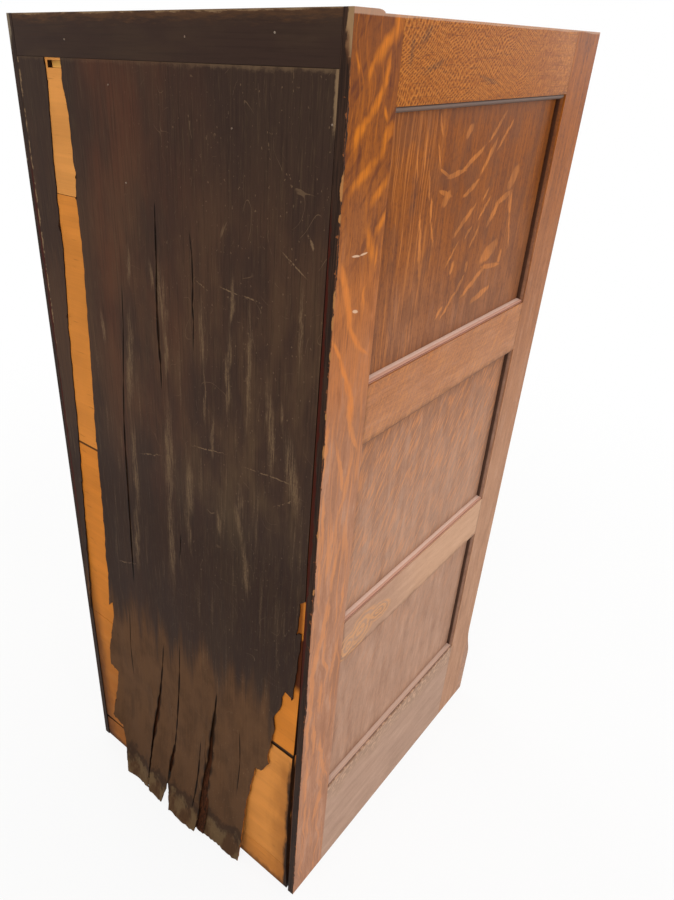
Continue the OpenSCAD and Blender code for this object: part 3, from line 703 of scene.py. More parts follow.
def sheet_stain(name, colours):
    """The outer sheet's stain: cloudy and scratched, red at one side, and worn to the wood at the foot."""
    s = Surface(name, 0.6, 0.06)
    streaks = s.flat("xz", 0.35, 0.008).noise(4.0, 0.65)
    clouds = s.flat("xz", 0.014, 0.005).noise(4.0, 0.6)
    red = s.flat("xz", 0.011, 0.004, 12.0).noise(3.0, 0.55).step(0.36, 0.62)
    red = red * s.x.step(-140, 110) * s.x.step(150, 90) * (s.z.step(620, 1000) * 0.8 + 0.2)
    wood = red.mix(colours.stain, colours.stain_red)
    belt = s.z.step(690, 860) * s.z.step(1240, 1080) * (clouds.step(0.36, 0.6) * 0.28 + 0.06)
    wood = belt.mix(wood, Tint.sheet_warm)
    dust = clouds.step(0.42, 0.66) * (s.x.step(60, -160) * s.z.step(1150, 850) * 0.45 + 0.08)
    dust = dust * (s.z.step(600, 800) * 0.6 + 0.4)
    wood = dust.mix(wood, colours.dusty)
    wood = (s.z.step(760, 640) * 0.42).mix(wood, Tint.sheet_low)
    wood = (streaks.step(0.55, 0.3) * 0.4).mix(wood, shaded(colours.stain, 0.4))
    threads = s.place.stretched(0.7, 0.7, 0.03).noise(3.0, 0.7)
    wood = (threads.step(0.52, 0.72) * 0.35).mix(wood, colours.dusty)
    checks = s.flat("xz", 0.5, 0.02, 7.0).noise(2.0, 0.6).step(0.68, 0.74)
    wood = (checks * 0.6).mix(wood, shaded(colours.stain, 0.3))
    scallops = s.flat("xz", 0.045, 0.004).noise(2.0, 0.6) * 270 + streaks * 60
    worn = (s.z - scallops).step(310, 205)
    patches = s.flat("xz", 0.03, 0.012, 4.0).noise(4.0, 0.65)
    worn_wood = patches.step(0.34, 0.6).mix(shaded(colours.worn, 0.7), colours.worn)
    worn_wood = (streaks.step(0.45, 0.68) * 0.4).mix(worn_wood, shaded(colours.worn, 1.3))
    worn_wood = (s.z.step(190, 40) * 0.4).mix(worn_wood, shaded(colours.worn, 0.55))
    wood = (worn * 0.9).mix(wood, worn_wood)
    tide = s.flat("xz", 0.035, 0.02, 9.0).noise(3.0, 0.7) * 90
    wet = abs(s.z - tide - 12).step(22, 4)
    wood = (wet * 0.6).mix(wood, shaded(colours.stain, 0.5))
    tips = (s.z - tide - 6).step(8, -8)
    wood = (tips * patches.step(0.4, 0.55) * 0.6).mix(wood, Tint.sheet_tip)
    grit = s.place.stretched(0.9, 0.9, 0.3).noise(2.0, 0.75)
    drawn = ovals(wandering(s.x, s.z, 30, 14), SHEET_SMEARS).step(0.0, 0.8) * threads.step(0.34, 0.6)
    drawn = drawn * (grit.step(0.4, 0.6) * 0.5 + 0.5)
    middle = s.z.step(1060, 860) * s.z.step(330, 480)
    fainter = (s.x * 0.13 + s.z * 0.002).join(s.z * 0.006, 1.0).noise(3.0, 0.65).step(0.56, 0.72) * middle
    lines = ovals(wandering(s.x, s.z, 9, 10), SHEET_SCRATCHES).step(0.1, 0.6)
    specks = s.place.stretched(0.25, 0.25, 0.25).noise(2.0, 0.6).step(0.4, 0.56)
    smears = drawn.largest(fainter * grit.step(0.34, 0.6) * 0.45, lines * specks)
    # Painted shade along the cracks.
    cracks = ovals(s.x.join(s.z), crack_shades()).step(0.0, 0.5)
    wood = (cracks * 0.8).mix(wood, shaded(colours.stain, 0.2))
    hair = s.flat("xz", 0.016, 0.013, 3.0).noise(1.0, 0.4, 0.6)
    hairs = contours(hair, 9.0, 0.035) * s.flat("xz", 0.03, 0.03, 8.0).noise(2.0).step(0.54, 0.62)
    hairs = hairs * s.x.step(140, -120) * 0.5
    pocks = s.place.stretched(0.35, 0.35, 0.2).noise(2.0).step(0.68, 0.74) * s.x.step(140, -160) * 0.6
    chips = s.place.stretched(0.09, 0.2, 0.12).noise(4.0, 0.7) - 0.5
    top_edge = (s.z + chips * 14).step(1269, 1275) * (s.x.step(60, -160) * 0.4 + 0.2)
    rim = (s.z + chips * 8).step(1276.4, 1277.4) * 1.4
    gaps = s.flat("zx", 0.035, 0.02, 6.0).noise(3.0, 0.7).step(0.46, 0.56)
    far_edge = (s.x + chips * 9).step(245.5, 247) * (s.z + chips * 200).step(860, 960)
    flank = (s.x - chips * 5).step(-244.5, -247) * (s.z + chips * 40).step(1215, 1240)
    marks = smears.largest(hairs, pocks, top_edge, rim, far_edge * gaps * 1.3, flank * 1.4)
    wood = (marks * 0.55).mix(wood, colours.scratch)
    s.feed("Base Color", wood)
    s.feed("Roughness", streaks * 0.2 + worn * 0.15 + 0.45)
    s.relief(streaks * 0.6 + marks * 0.4, 0.00022)
    return s.material


def torn_edge(name, colours):
    """The sheet's edge: dark with age, and freshly torn to the wood low down on the -X side."""
    s = Surface(name, 0.8, 0.05)
    splinters = s.place.stretched(0.9, 0.9, 0.06).noise(3.0, 0.7)
    fresh = s.z.step(420, 300) * s.x.step(-90, -130) * splinters.step(0.3, 0.6)
    s.feed("Base Color", fresh.mix(shaded(colours.stain, 0.5), shaded(colours.board, 0.8)))
    s.relief(splinters, 0.0003)
    return s.material


def back_stain(name, colours):
    """The rail above the back: stained, with its upper arris rubbed to the wood."""
    s = Surface(name, 0.55, 0.06)
    streaks = s.flat("zx", 0.4, 0.008).noise(4.0, 0.65)
    clouds = s.flat("xz", 0.012, 0.03).noise(3.0)
    wood = (clouds.step(0.4, 0.65) * 0.12).mix(colours.stain, colours.dusty)
    wood = (streaks.step(0.56, 0.32) * 0.35).mix(wood, shaded(colours.stain, 0.5))
    rough = s.place.stretched(0.05, 0.2, 0.3).noise(4.0, 0.7) - 0.5
    browned = (s.z + rough * 30).step(STILE_TOP - 12, STILE_TOP)
    wood = (browned * 0.5).mix(wood, Tint.back_rail_arris)
    rubbed = (s.z + rough * 9).step(STILE_TOP - 2.2, STILE_TOP - 0.8) * (rough.step(-0.1, 0.1) * 0.6 + 0.4)
    s.feed("Base Color", (rubbed * 0.75).mix(wood, colours.scratch))
    s.feed("Roughness", streaks * 0.25 + 0.42)
    s.relief(streaks, 0.00012)
    return s.material


def seam(board):
    """The height of the open joint above a board of the back."""
    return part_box("back_board_" + board)[1].z * MM


def board_dirt(s, grain, dirt):
    """How dark the boards are where the sheet was glued on, and at their foot and joints; beside the -X
    stile low down and on the slot's sides it is dirt with painted shade.
    """
    strip_edge = ((s.z - 1055) * 0.07 + 48).smallest(54)
    ragged = (grain - 0.5) * 8
    strip_side = (s.x - SHEET_EDGE + strip_edge + ragged * 0.4).step(2, 6)
    shore = (s.z * -0.6).largest(-206)
    middle = (s.x + ragged).step(SHEET_EDGE - 108, SHEET_EDGE - 116) * (s.x + ragged - shore).step(0, 8)
    middle = middle * (1 - s.x.step(SHEET_EDGE - 124, SHEET_EDGE - 120) * s.z.step(1252, 1256))
    # Dirt with painted shade beside the -X stile, low down.
    side_dirt_and_shade = (s.x + dirt * 16).step(-232, -239) * (s.z + dirt * 60).step(345, 320)
    foot_dirt = (s.z + dirt * 24).step(20, 4) * 0.6
    deep = SHEET_BACK * MM - s.y
    # Dirt with painted shade on the slot's walls.
    wall_shade = deep.step(0.5, 1.0) * deep.step(7.6, 7.2)
    wedge = abs(s.z - seam("lower")).step(4.5, 2.5) * s.x.step(-160, -180)
    joint = abs(s.z - seam("middle")).step(2.6, 1.6).largest(abs(s.z - seam("foot")).step(3.0, 1.4))
    joint = joint * s.x.step(100, 110)
    return strip_side.largest(middle, side_dirt_and_shade, foot_dirt, wall_shade, wedge, joint * 0.85)


def board_wood(name, colours, far_pale, pale, tone):
    """A bare board of the back: orange where the sheet has come off, dark where it was glued."""
    s = Surface(name, 0.6, 0.05)
    grain = s.flat("zx", 0.35, 0.006).noise(4.0, 0.6)
    growth = s.flat("zx", 0.05, 0.002, 3.0).noise(2.0)
    blush = s.place.stretched(0.012, 0.012, 0.02).noise(2.0)
    dashes = s.flat("zx", 0.3, 0.03, 5.0).noise(1.0).step(0.68, 0.76)
    toned = shaded(colours.board, tone)
    board, far = (between(toned, colours.board_pale, share) for share in (pale, far_pale))
    wood = (grain.step(0.6, 0.4) * 0.12).mix(s.x.step(-60, 60).mix(board, far), shaded(board, 0.55))
    wood = (growth.step(0.45, 0.62) * 0.22).mix(wood, shaded(board, 1.35))
    wood = (blush.step(0.42, 0.68) * 0.3).mix(wood, shaded(board, 0.7))
    wood = (dashes * 0.45).mix(wood, shaded(board, 0.35))
    dirt = s.place.stretched(0.06, 0.06, 0.02).noise(3.0, 0.6) - 0.5
    side_shade = (s.x + dirt * 40).step(-190, -240) * s.z.step(360, 300)
    far_foot = (s.x + dirt * 60).step(100, 170) * (s.z + dirt * 60).step(450, 80)
    wood = (far_foot * 0.6).largest(side_shade * 0.5).mix(wood, Tint.board_shade)
    # Painted shade on the boards low down by the far stile.
    far_edge = (s.x + dirt * 24).step(216, 250) * (s.z + dirt * 100).step(620, 260)
    wood = (far_edge * 0.8).mix(wood, Tint.board_far_edge)
    # Painted light on the slot's floor, which the lamps hardly reach.
    pocket_floor_light = (SHEET_BACK * MM - s.y).step(7.2, 7.6)
    wood = pocket_floor_light.mix(wood, shaded(board, 2))
    from_gap = abs(s.z - GAP_HEIGHT)
    # Painted shade in the gap that the sheet's torn -X edge leaves beside the stile.
    gap_shade = s.x.step(-236, -238) * s.z.step(490, 510) * from_gap.step(31, 37)
    wood = (gap_shade * 0.95).mix(wood, Tint.board_gap)
    # Painted shadow of the sheet's edge across the notch.
    notch_shadow = s.x.step(-248.5, -242) * s.x.step(-225, -230) * from_gap.step(42, 34)
    wood = (notch_shadow * 0.75).mix(wood, Tint.board_notch)
    s.feed("Base Color", (board_dirt(s, grain, dirt) * 0.97).mix(wood, shaded(colours.stain, 0.4)))
    s.feed("Roughness", grain * 0.2 + 0.48)
    s.relief(grain, 0.00015)
    return s.material


def bare_fibres(s, run, colours):
    """The fibres of unfinished wood whose grain lies along axis run, and its colour."""
    fibres = along_grain(s, run).stretched(0.012, 0.5, 0.5).noise(4.0, 0.6)
    return fibres, (fibres.step(0.62, 0.35) * 0.4).mix(colours.bare, shaded(colours.bare, 0.6))


def bare_wood(name, run, colours):
    """Unfinished wood, inside the case and the drawers."""
    s = Surface(name, 0.55, 0.3)
    fibres, wood = bare_fibres(s, run, colours)
    growth = along_grain(s, run).stretched(0.003, 0.06, 0.06).noise(2.0, 0.5, 0.4)
    wood = (growth.step(0.42, 0.62) * 0.35).mix(wood, shaded(colours.bare, 0.72))
    s.feed("Base Color", wood)
    s.feed("Roughness", fibres * 0.2 + 0.42)
    s.relief(fibres, 0.00015)
    return s.material


def old_brass(name, colours):
    s = Surface(name, 0.36)
    tarnish = s.place.stretched(0.09, 0.09, 0.09).noise(4.0, 0.6)
    rubbing = s.place.stretched(1.2, 0.3, 0.08).noise(2.0)
    s.feed("Base Color", tarnish.step(0.42, 0.62).mix(colours.brass, shaded(colours.brass, 0.42)))
    s.shader.inputs["Metallic"].default_value = 1.0
    s.feed("Roughness", tarnish * 0.35 + rubbing * 0.12 + 0.12)
    s.relief(tarnish, 0.00008)
    return s.material


def nail_iron(name):
    s = Surface(name, 0.7, 0.2)
    rust = s.place.stretched(0.5, 0.5, 0.5).noise(3.0)
    s.feed("Base Color", rust.step(0.4, 0.6).mix(Tint.iron, Tint.rust))
    s.feed("Roughness", rust * 0.3 + 0.5)
    return s.material


def only(piece):
    """Makes a piece the one that is selected and active."""
    bpy.ops.object.select_all(action="DESELECT")
    piece.hide_set(False)
    piece.select_set(True)
    bpy.context.view_layer.objects.active = piece


def editing(on):
    bpy.ops.object.mode_set(mode="EDIT" if on else "OBJECT")


def select_faces(piece, test):
    """Leaves edit mode on, with only the faces that pass the test selected."""
    only(piece)
    bpy.context.tool_settings.mesh_select_mode = (False, False, True)
    editing(True)
    bpy.ops.mesh.select_all(action="DESELECT")
    editing(False)
    for face in piece.data.polygons:
        face.select = test(face)
    editing(True)


def mend_mesh(piece, merge=False, flatten=False, turn_out=False):
    """Merges points that meet, dissolves edges inside flat faces, and turns the faces outwards, as asked."""
    only(piece)
    editing(True)
    bpy.ops.mesh.select_all(action="SELECT")
    if merge:
        bpy.ops.mesh.remove_doubles(threshold=MERGE)
    if flatten:
        bpy.ops.mesh.dissolve_limited(angle_limit=math.radians(1))
    if turn_out:
        bpy.ops.mesh.normals_make_consistent(inside=False)
    editing(False)


def merged_copy(node, name):
    """A copy of a CAD node's mesh as a new object, with its loose triangles merged."""
    piece = bpy.data.objects.new(name, frame["nodes"][node].data.copy())
    bpy.context.scene.collection.objects.link(piece)
    piece.data.materials.clear()
    mend_mesh(piece, merge=True, flatten=True)
    return piece


def joined(pieces, name, material):
    """Several pieces made one, with a name and a finish."""
    only(pieces[0])
    for piece in pieces:
        piece.select_set(True)
    bpy.ops.object.join()
    whole = bpy.context.view_layer.objects.active
    whole.name = name
    whole.data.materials.append(material)
    return whole


def smooth(degrees):
    """Shades the active piece smooth, but for edges sharper than this."""
    bpy.ops.object.shade_smooth_by_angle(angle=math.radians(degrees))


def apply(piece, kind, **settings):
    """Adds a modifier to a piece and applies it."""
    only(piece)
    made = piece.modifiers.new(kind.lower(), kind)
    for name, value in settings.items():
        setattr(made, name, value)
    bpy.ops.object.modifier_apply(modifier=made.name)


def hand_over(piece, body, slot, *nodes):
    """Says which body the piece moves with and hides the nodes that it stands for; slot, its finish, is not
    used.
    """
    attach(piece, body)
    if nodes:
        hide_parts(*nodes)


def body_of(node):
    return frame["nodes"][node]["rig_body"]


def slot_of(node):
    return next(p["material_slot"] for p in frame["record"]["subparts"] if p["node"] == node)


def eased(node, material, arris):
    """The node's own shape with its edges eased, in its finish."""
    piece = merged_copy(node, "eased_" + node)
    apply(piece, "BEVEL", width=arris, segments=2, limit_method="ANGLE", angle_limit=math.radians(30))
    smooth(40)
    apply(piece, "WEIGHTED_NORMAL", keep_sharp=True)
    piece.data.materials.append(material)
    hand_over(piece, body_of(node), slot_of(node), node)


def paint_node(node, material):
    """Gives a finish to a CAD node that keeps its own mesh."""
    mesh = frame["nodes"][node].data
    mesh.materials.clear()
    mesh.materials.append(material)


def sizes_and_colours(context):
    return context.scene.cabinet_sizes, context.scene.cabinet_colours


class SideFrames(bpy.types.Operator):
    """Eases the edges of the side frames and finishes them and their panels in oak"""
    bl_idname = "cabinet.side_frames"
    bl_label = "Side frames"

    def execute(self, context):
        sizes, colours = sizes_and_colours(context)
        finishes = {
            "rear_stile": stile_oak("stile_rays", colours),
            "front_stile": plain_oak("stile_plain", "z", plain_rays, colours, fade=FRONT_STILE_FADE,
                                     ground=(Tint.front_stile, Tint.front_stile_low)),
            "side_rails": plain_oak("rail_rays", "y", rail_rays, colours,
                                    figure=(colours.ray, Tint.rail_ray_low)),
        }
        panel = panel_oak("panel_rays", colours)
        for side in SIDES:
            for part, material in finishes.items():
                eased(f"{side}_{part}", material, sizes.arris)
            paint_node(f"{side}_side_panels", panel)
        return {"FINISHED"}


# The ledge under a panel, by height above its lower edge in mm: where each colour starts and ends its blend.
# The ledge faces up, so its pale colours are dust with painted light; its groove colour is painted shade.
LEDGE_BANDS = ((1.4, 1.8, Tint.ledge_groove), (2.7, 3.2, Tint.ledge_bead), (4.9, 5.3, Tint.ledge_lip))


class Mouldings(bpy.types.Operator):
    """Eases and finishes the mouldings round the panels"""
    bl_idname = "cabinet.mouldings"
    bl_label = "Panel mouldings"

    def execute(self, context):
        sizes, colours = sizes_and_colours(context)
        s, wood, fibres = oak("moulding_wood", "y", plain_rays, colours)
        over_ledge, under_top, beside = from_frame_edges(s)
        from_frame = over_ledge.smallest(under_top, beside)
        ledge, upper = ((from_frame - edge).step(-0.4, -0.1) for edge in (over_ledge, under_top))
        high_strip = upper * s.z.step(1200, 1210)
        wood = (upper.largest(1 - ledge.largest(upper)) * 0.5).mix(wood, Tint.strip_shade)
        rise = from_frame + (fibres - 0.5)
        lowest = s.z.step(240, 230)
        # The upward-facing ledge: dust with painted light, and painted shade in its grooves.
        lit_dusty_ledge = Tint.ledge_foot
        for low, high, colour in LEDGE_BANDS:
            lit_dusty_ledge = rise.step(low, high).mix(lit_dusty_ledge, colour)
        lit_dusty_ledge = (lowest * 0.6).mix(lit_dusty_ledge, Tint.ledge_low)
        low_groove_shade = rise.step(1.4, 1.8) * rise.step(3.2, 2.7)
        lit_dusty_ledge = (lowest * low_groove_shade).mix(lit_dusty_ledge, Tint.ledge_low_groove)
        wood = (ledge * 0.9).mix(wood, lit_dusty_ledge)
        wood = (high_strip * 0.9).mix(wood, Tint.strip_high)
        # Painted shade in the grooves at the frame and at the panel.
        groove_shade = from_frame.step(1.3, 0.7).largest(from_frame.step(4.7, 5.5)) * (1 - ledge)
        wood = (groove_shade * (0.8 - high_strip * 0.6)).mix(wood, Tint.strip_groove)
        s.feed("Base Color", wood)
        for side in SIDES:
            eased(f"{side}_panel_mouldings", s.material, sizes.arris * 0.5)
        return {"FINISHED"}


class CaseBoards(bpy.types.Operator):
    """Finishes the boards and rails of the case"""
    bl_idname = "cabinet.case_boards"
    bl_label = "Case boards"

    def execute(self, context):
        sizes, colours = sizes_and_colours(context)
        across = plain_oak("front_oak_across", "x", front_rays, colours, fade=FRONT_FADE)
        deep = plain_oak("top_oak", "y", plain_rays, colours)
        upright = plain_oak("front_oak_upright", "z", plain_rays, colours, fade=FRONT_FADE)
        inside = bare_wood("inside_wood", "y", colours)
        for node, material in (("top_board", deep), ("front_top_rail", across), ("front_rails", across),
                               ("plinth_board", across), ("centre_partition", upright)):
            eased(node, material, sizes.arris)
        for node in ("bottom_board", "drawer_runners"):
            paint_node(node, inside)
        return {"FINISHED"}


class BackBoards(bpy.types.Operator):
    """Finishes the boards of the back and the rail above them"""
    bl_idname = "cabinet.back_boards"
    bl_label = "Back boards"

    def execute(self, context):
        sizes, colours = sizes_and_colours(context)
        for part, look in BOARD_LOOKS.items():
            eased("back_board_" + part, board_wood("board_" + part, colours, *look), sizes.arris)
        eased("back_top_rail", back_stain("back_rail_stain", colours), sizes.arris * 1.5)
        return {"FINISHED"}


def slice_mesh(piece, axis, step):
    """Cuts a piece along planes square to an axis, step apart, so that it can bend."""
    low, high = (f(v.co[axis] for v in piece.data.vertices) for f in (min, max))
    only(piece)
    editing(True)
    normal = [0, 0, 0]
    normal[axis] = 1
    for i in range(1, math.ceil((high - low) / step)):
        centre = [0, 0, 0]
        centre[axis] = low + i * step
        bpy.ops.mesh.select_all(action="SELECT")
        bpy.ops.mesh.bisect(plane_co=centre, plane_no=normal)
    editing(False)


def rim_points(mesh):
    """The indices of the points along the open edges of a mesh."""
    uses = {}
    for face in mesh.polygons:
        for key in face.edge_keys:
            uses[key] = uses.get(key, 0) + 1
    return {index for key, count in uses.items() if count == 1 for index in key}


def fray(mesh, sizes, rng):
    """Roughens the torn edges: teeth across the grain, a slow wander along it."""
    for index in rim_points(mesh):
        point = mesh.vertices[index].co
        # The top edge and the -X edge are sound.
        if point.z > SHEET_HIGH.z - 0.001 or point.x < SHEET_LOW.x + 0.003:
            continue
        wander = field_noise.noise(Vector((point.z * 60, point.x * 20, 1.0)))
        tooth = field_noise.noise(Vector((point.x * 260, point.z * 40, 4.0)))
        point.x += sizes.fray * (wander * 2 + rng.uniform(-0.5, 0.5))
        point.z += sizes.tooth * (tooth * 1.6 + rng.uniform(-0.5, 0.5))


def lift_edges(mesh, sizes):
    """Bends the sheet a little off the boards near its torn edges, and makes its foot wave."""
    rim = rim_points(mesh)
    tree = kdtree.KDTree(len(rim))
    for index in rim:
        point = mesh.vertices[index].co
        if point.z < SHEET_HIGH.z - 0.004 and point.x > SHEET_LOW.x + 0.006:
            tree.insert((point.x, 0, point.z), index)
    tree.balance()
    for vertex in mesh.vertices:
        point = vertex.co
        away = tree.find((point.x, 0, point.z))[2]
        near = max(0.0, 1 - away / LIFT_REACH) ** 2
        low = min(1.0, max(0.0, (LIFT_HIGH - point.z) / (LIFT_HIGH - LIFT_FULL)))
        wave = 0.5 + field_noise.noise(Vector((point.x * 22, point.z * 7, 2.0)))
        point.y += sizes.lift * low * (near * (0.4 + wave) + low * max(0, wave) * 1.2)


# Each crack as points (mm from the +X edge, height, width); its ends have no width.
CRACKS = (
    ((246, 1130, 0), (245, 1110, 1.4), (243, 1060, 2.2), (239, 1000, 3.0), (239, 950, 3.4), (240, 925, 2.2),
     (239, 890, 0)),
    ((172, 1015, 0), (168, 960, 1.2), (158, 878, 1.2), (151, 812, 1.8), (148, 760, 3.0), (146, 690, 4.0),
     (143, 620, 3.4), (141, 565, 3.4), (139, 500, 0)),
    ((303, 1105, 0), (306, 1079, 0.9), (306, 1044, 1.0), (304, 1020, 1.4), (305, 1000, 1.0), (303, 963, 0)),
    ((264, 663, 0), (261, 640, 1.6), (258, 610, 0)),
    ((206, 398, 0), (200, 345, 1.8), (193, 300, 2.6), (187, 262, 4.4), (181, 225, 7.0), (173, 180, 8.0),
     (168, 140, 7.0), (166, 100, 0)),
    ((247, 426, 0), (243, 360, 1.6), (238, 300, 2.2), (233, 240, 2.0), (229, 200, 1.4), (226, 165, 2.0),
     (222, 135, 6.0), (219, 100, 8.0), (218, 66, 0)),
    ((332, 373, 0), (328, 330, 4.0), (324, 285, 7.5), (319, 235, 8.5), (315, 190, 10.0), (309, 150, 12.0),
     (306, 110, 13.0), (304, 70, 11.0), (304, 36, 0)),
    ((294, 228, 0), (291, 180, 1.8), (288, 130, 2.4), (285, 80, 2.0), (283, 50, 0)),
    ((383, 320, 0), (385, 250, 1.2), (380, 168, 0)),
    ((118, 420, 0), (113, 340, 1.2), (112, 260, 0)),
)


def crack_shades():
    """Marks along every crack, for the painted shade at its edges."""
    shades = []
    for points in CRACKS:
        for (s, z, width), (next_s, next_z, next_width) in zip(points, points[1:]):
            length = math.hypot(next_s - s, next_z - z)
            lean = math.degrees(math.atan2(z - next_z, next_s - s))
            middle = SHEET_HIGH.x * MM - (s + next_s) / 2
            shades.append((middle, (z + next_z) / 2, length * 1.3, 2 + width + next_width, lean))
    return shades


def crack_outline(points):
    """A closed outline round a crack."""
    inner = points[1:-1]
    right = [(s - width / 2, z) for s, z, width in inner]
    left = [(s + width / 2, z) for s, z, width in inner]
    return [points[0][:2]] + right + [points[-1][:2]] + left[::-1]


def crack_cutter():
    """One solid, deeper than the sheet's curl, with the outline of every crack."""
    curve = bpy.data.curves.new("crack_cutter", "CURVE")
    curve.dimensions = "2D"
    curve.fill_mode = "BOTH"
    curve.extrude = CUTTER_REACH
    for points in CRACKS:
        outline = crack_outline(points)
        spline = curve.splines.new("POLY")
        spline.points.add(len(outline) - 1)
        spline.use_cyclic_u = True
        for point, (s, z) in zip(spline.points, outline):
            point.co = (SHEET_HIGH.x - s / MM, z / MM, 0, 1)
    cutter = bpy.data.objects.new("crack_cutter", curve)
    bpy.context.scene.collection.objects.link(cutter)
    only(cutter)
    bpy.ops.object.convert(target="MESH")
    cutter.rotation_euler = (math.pi / 2, 0, 0)
    cutter.location = (0, SHEET_HIGH.y, 0)
    bpy.ops.object.transform_apply(location=True, rotation=True, scale=True)
    mend_mesh(cutter, merge=True, turn_out=True)
    return cutter


class TornSheet(bpy.types.Operator):
    """Frays, lifts, thickens and cracks the outer sheet of the back"""
    bl_idname = "cabinet.torn_sheet"
    bl_label = "Torn back sheet"

    def execute(self, context):
        sizes, colours = sizes_and_colours(context)
        sheet = merged_copy("back_sheet", "torn_sheet")
        select_faces(sheet, lambda face: face.normal.y < 0.3)
        bpy.ops.mesh.delete(type="FACE")
        bpy.ops.mesh.select_all(action="SELECT")
        bpy.ops.mesh.quads_convert_to_tris()
        editing(False)
        slice_mesh(sheet, X_AXIS, sizes.slice_x)
        slice_mesh(sheet, Z_AXIS, sizes.slice_z)
        editing(True)
        bpy.ops.mesh.select_all(action="DESELECT")
        context.tool_settings.mesh_select_mode = (False, True, False)
        bpy.ops.mesh.select_non_manifold(extend=False, use_wire=False, use_multi_face=False,
                                         use_non_contiguous=False, use_verts=False)
        bpy.ops.mesh.subdivide(number_cuts=1)
        editing(False)
        fray(sheet.data, sizes, random.Random(7))
        lift_edges(sheet.data, sizes)
        for material in (sheet_stain("sheet_stain", colours), torn_edge("torn_edge", colours)):
            sheet.data.materials.append(material)
        apply(sheet, "SOLIDIFY", thickness=BACK_Y - SHEET_BACK, offset=-1, material_offset_rim=1)
        cutter = crack_cutter()
        apply(sheet, "BOOLEAN", operation="DIFFERENCE", object=cutter, solver="MANIFOLD")
        bpy.data.objects.remove(cutter)
        only(sheet)
        smooth(35)
        hand_over(sheet, "case", slot_of("back_sheet"), "back_sheet")
        return {"FINISHED"}


# The strips of inner ply: two distances in mm from the +X edge, share of the sheet's curl, height of the
# foot in metres.
INNER_PLIES = ((286, 316, 0.93, 0.007), (148, 182, 0.78, 0.007), (208, 234, 0.86, 0.08))
PLY_HIGH = CURL_HEIGHT - 0.007
PLY_THICK = 0.0008
PLY_CLEAR = 0.0003
PLY_BEHIND = 0.001


class InnerPly(bpy.types.Operator):
    """Hangs strips of the sheet's inner ply behind the slits between its tongues"""
    bl_idname = "cabinet.inner_ply"
    bl_label = "Inner ply"

    def execute(self, context):
        s = Surface("inner_ply", 0.8, 0.04)
        fibre = s.place.stretched(0.5, 0.5, 0.02).noise(3.0, 0.7)
        s.feed("Base Color", fibre.step(0.35, 0.65).mix(Tint.ply_dark, Tint.ply_light))
        s.relief(fibre, 0.0002)
        strips = [self.strip(*limits) for limits in INNER_PLIES]
        hand_over(joined(strips, "inner_ply", s.material), "case", slot_of("back_sheet"))
        return {"FINISHED"}

    def strip(self, first, last, share, foot):
        """A strip between two distances from the +X edge that curls out by a share of the sheet's curl."""
        bpy.ops.object.select_all(action="DESELECT")
        bpy.ops.mesh.primitive_grid_add(x_subdivisions=8, y_subdivisions=24, size=1)
        piece = bpy.context.view_layer.objects.active
        for vertex in piece.data.vertices:
            across, up = vertex.co.x + 0.5, vertex.co.y + 0.5
            ragged = 0.004 * field_noise.noise(Vector((across * 7, share, 0)))
            x = SHEET_HIGH.x - (first + (last - first) * across) / MM
            z = foot + ragged + (PLY_HIGH - foot) * up
            curl = CURL_REACH * share * ((CURL_HEIGHT - z) / (CURL_HEIGHT - SHEET_LOW.z)) ** 2
            vertex.co = (x, SHEET_BACK + PLY_CLEAR + max(0, curl - PLY_BEHIND), z)
        apply(piece, "SOLIDIFY", thickness=PLY_THICK, offset=0)
        mend_mesh(piece, turn_out=True)
        smooth(35)
        return piece


class BackNails(bpy.types.Operator):
    """Drives the small nails that hold the back's rail and sheet"""
    bl_idname = "cabinet.back_nails"
    bl_label = "Back nails"

    def execute(self, context):
        diameter = context.scene.cabinet_sizes.nail_d
        places = [(SHEET_HIGH.x - s / MM, BACK_Y, z / MM) for s, z in NAILS]
        heads = [round_head("nail", diameter, NAIL_HEIGHT, place, 1) for place in places]
        hand_over(joined(heads, "back_nails", nail_iron("nail_iron")), "case", slot_of("back_top_rail"))
        return {"FINISHED"}


def round_head(name, diameter, height, place, facing):
    """The domed head of a nail or screw on a face that looks along Y; facing is +1 or -1."""
    bpy.ops.object.select_all(action="DESELECT")
    bpy.ops.mesh.primitive_cylinder_add(vertices=16, radius=diameter / 2, depth=height,
                                        location=place, rotation=(math.pi / 2, 0, 0))
    head = bpy.context.view_layer.objects.active
    head.name = name
    bpy.ops.object.transform_apply(location=True, rotation=True, scale=True)
    select_faces(head, lambda face: face.normal.y * facing > 0.9)
    bpy.ops.mesh.inset(thickness=diameter * 0.16, depth=height * 0.35)
    bpy.ops.mesh.inset(thickness=diameter * 0.16, depth=height * 0.2)
    editing(False)
    smooth(50)
    return head


class Drawers(bpy.types.Operator):
    """Finishes the drawers and their followers"""
    bl_idname = "cabinet.drawers"
    bl_label = "Drawers"

    def execute(self, context):
        sizes, colours = sizes_and_colours(context)
        s, oak_front = oak("drawer_oak", "x", front_rays, colours, fade=FRONT_FADE)[:2]
        front = s.y.step(FRONT_FACE + 1.2, FRONT_FACE + 0.4)
        s.feed("Base Color", front.mix(bare_fibres(s, "y", colours)[1], oak_front))
        block = bare_wood("follower_wood", "x", colours)
        for side in SIDES:
            for row in ROWS:
                eased(f"drawer_{side}_{row}", s.material, sizes.arris)
                eased(f"follower_{side}_{row}", block, sizes.arris)
        return {"FINISHED"}


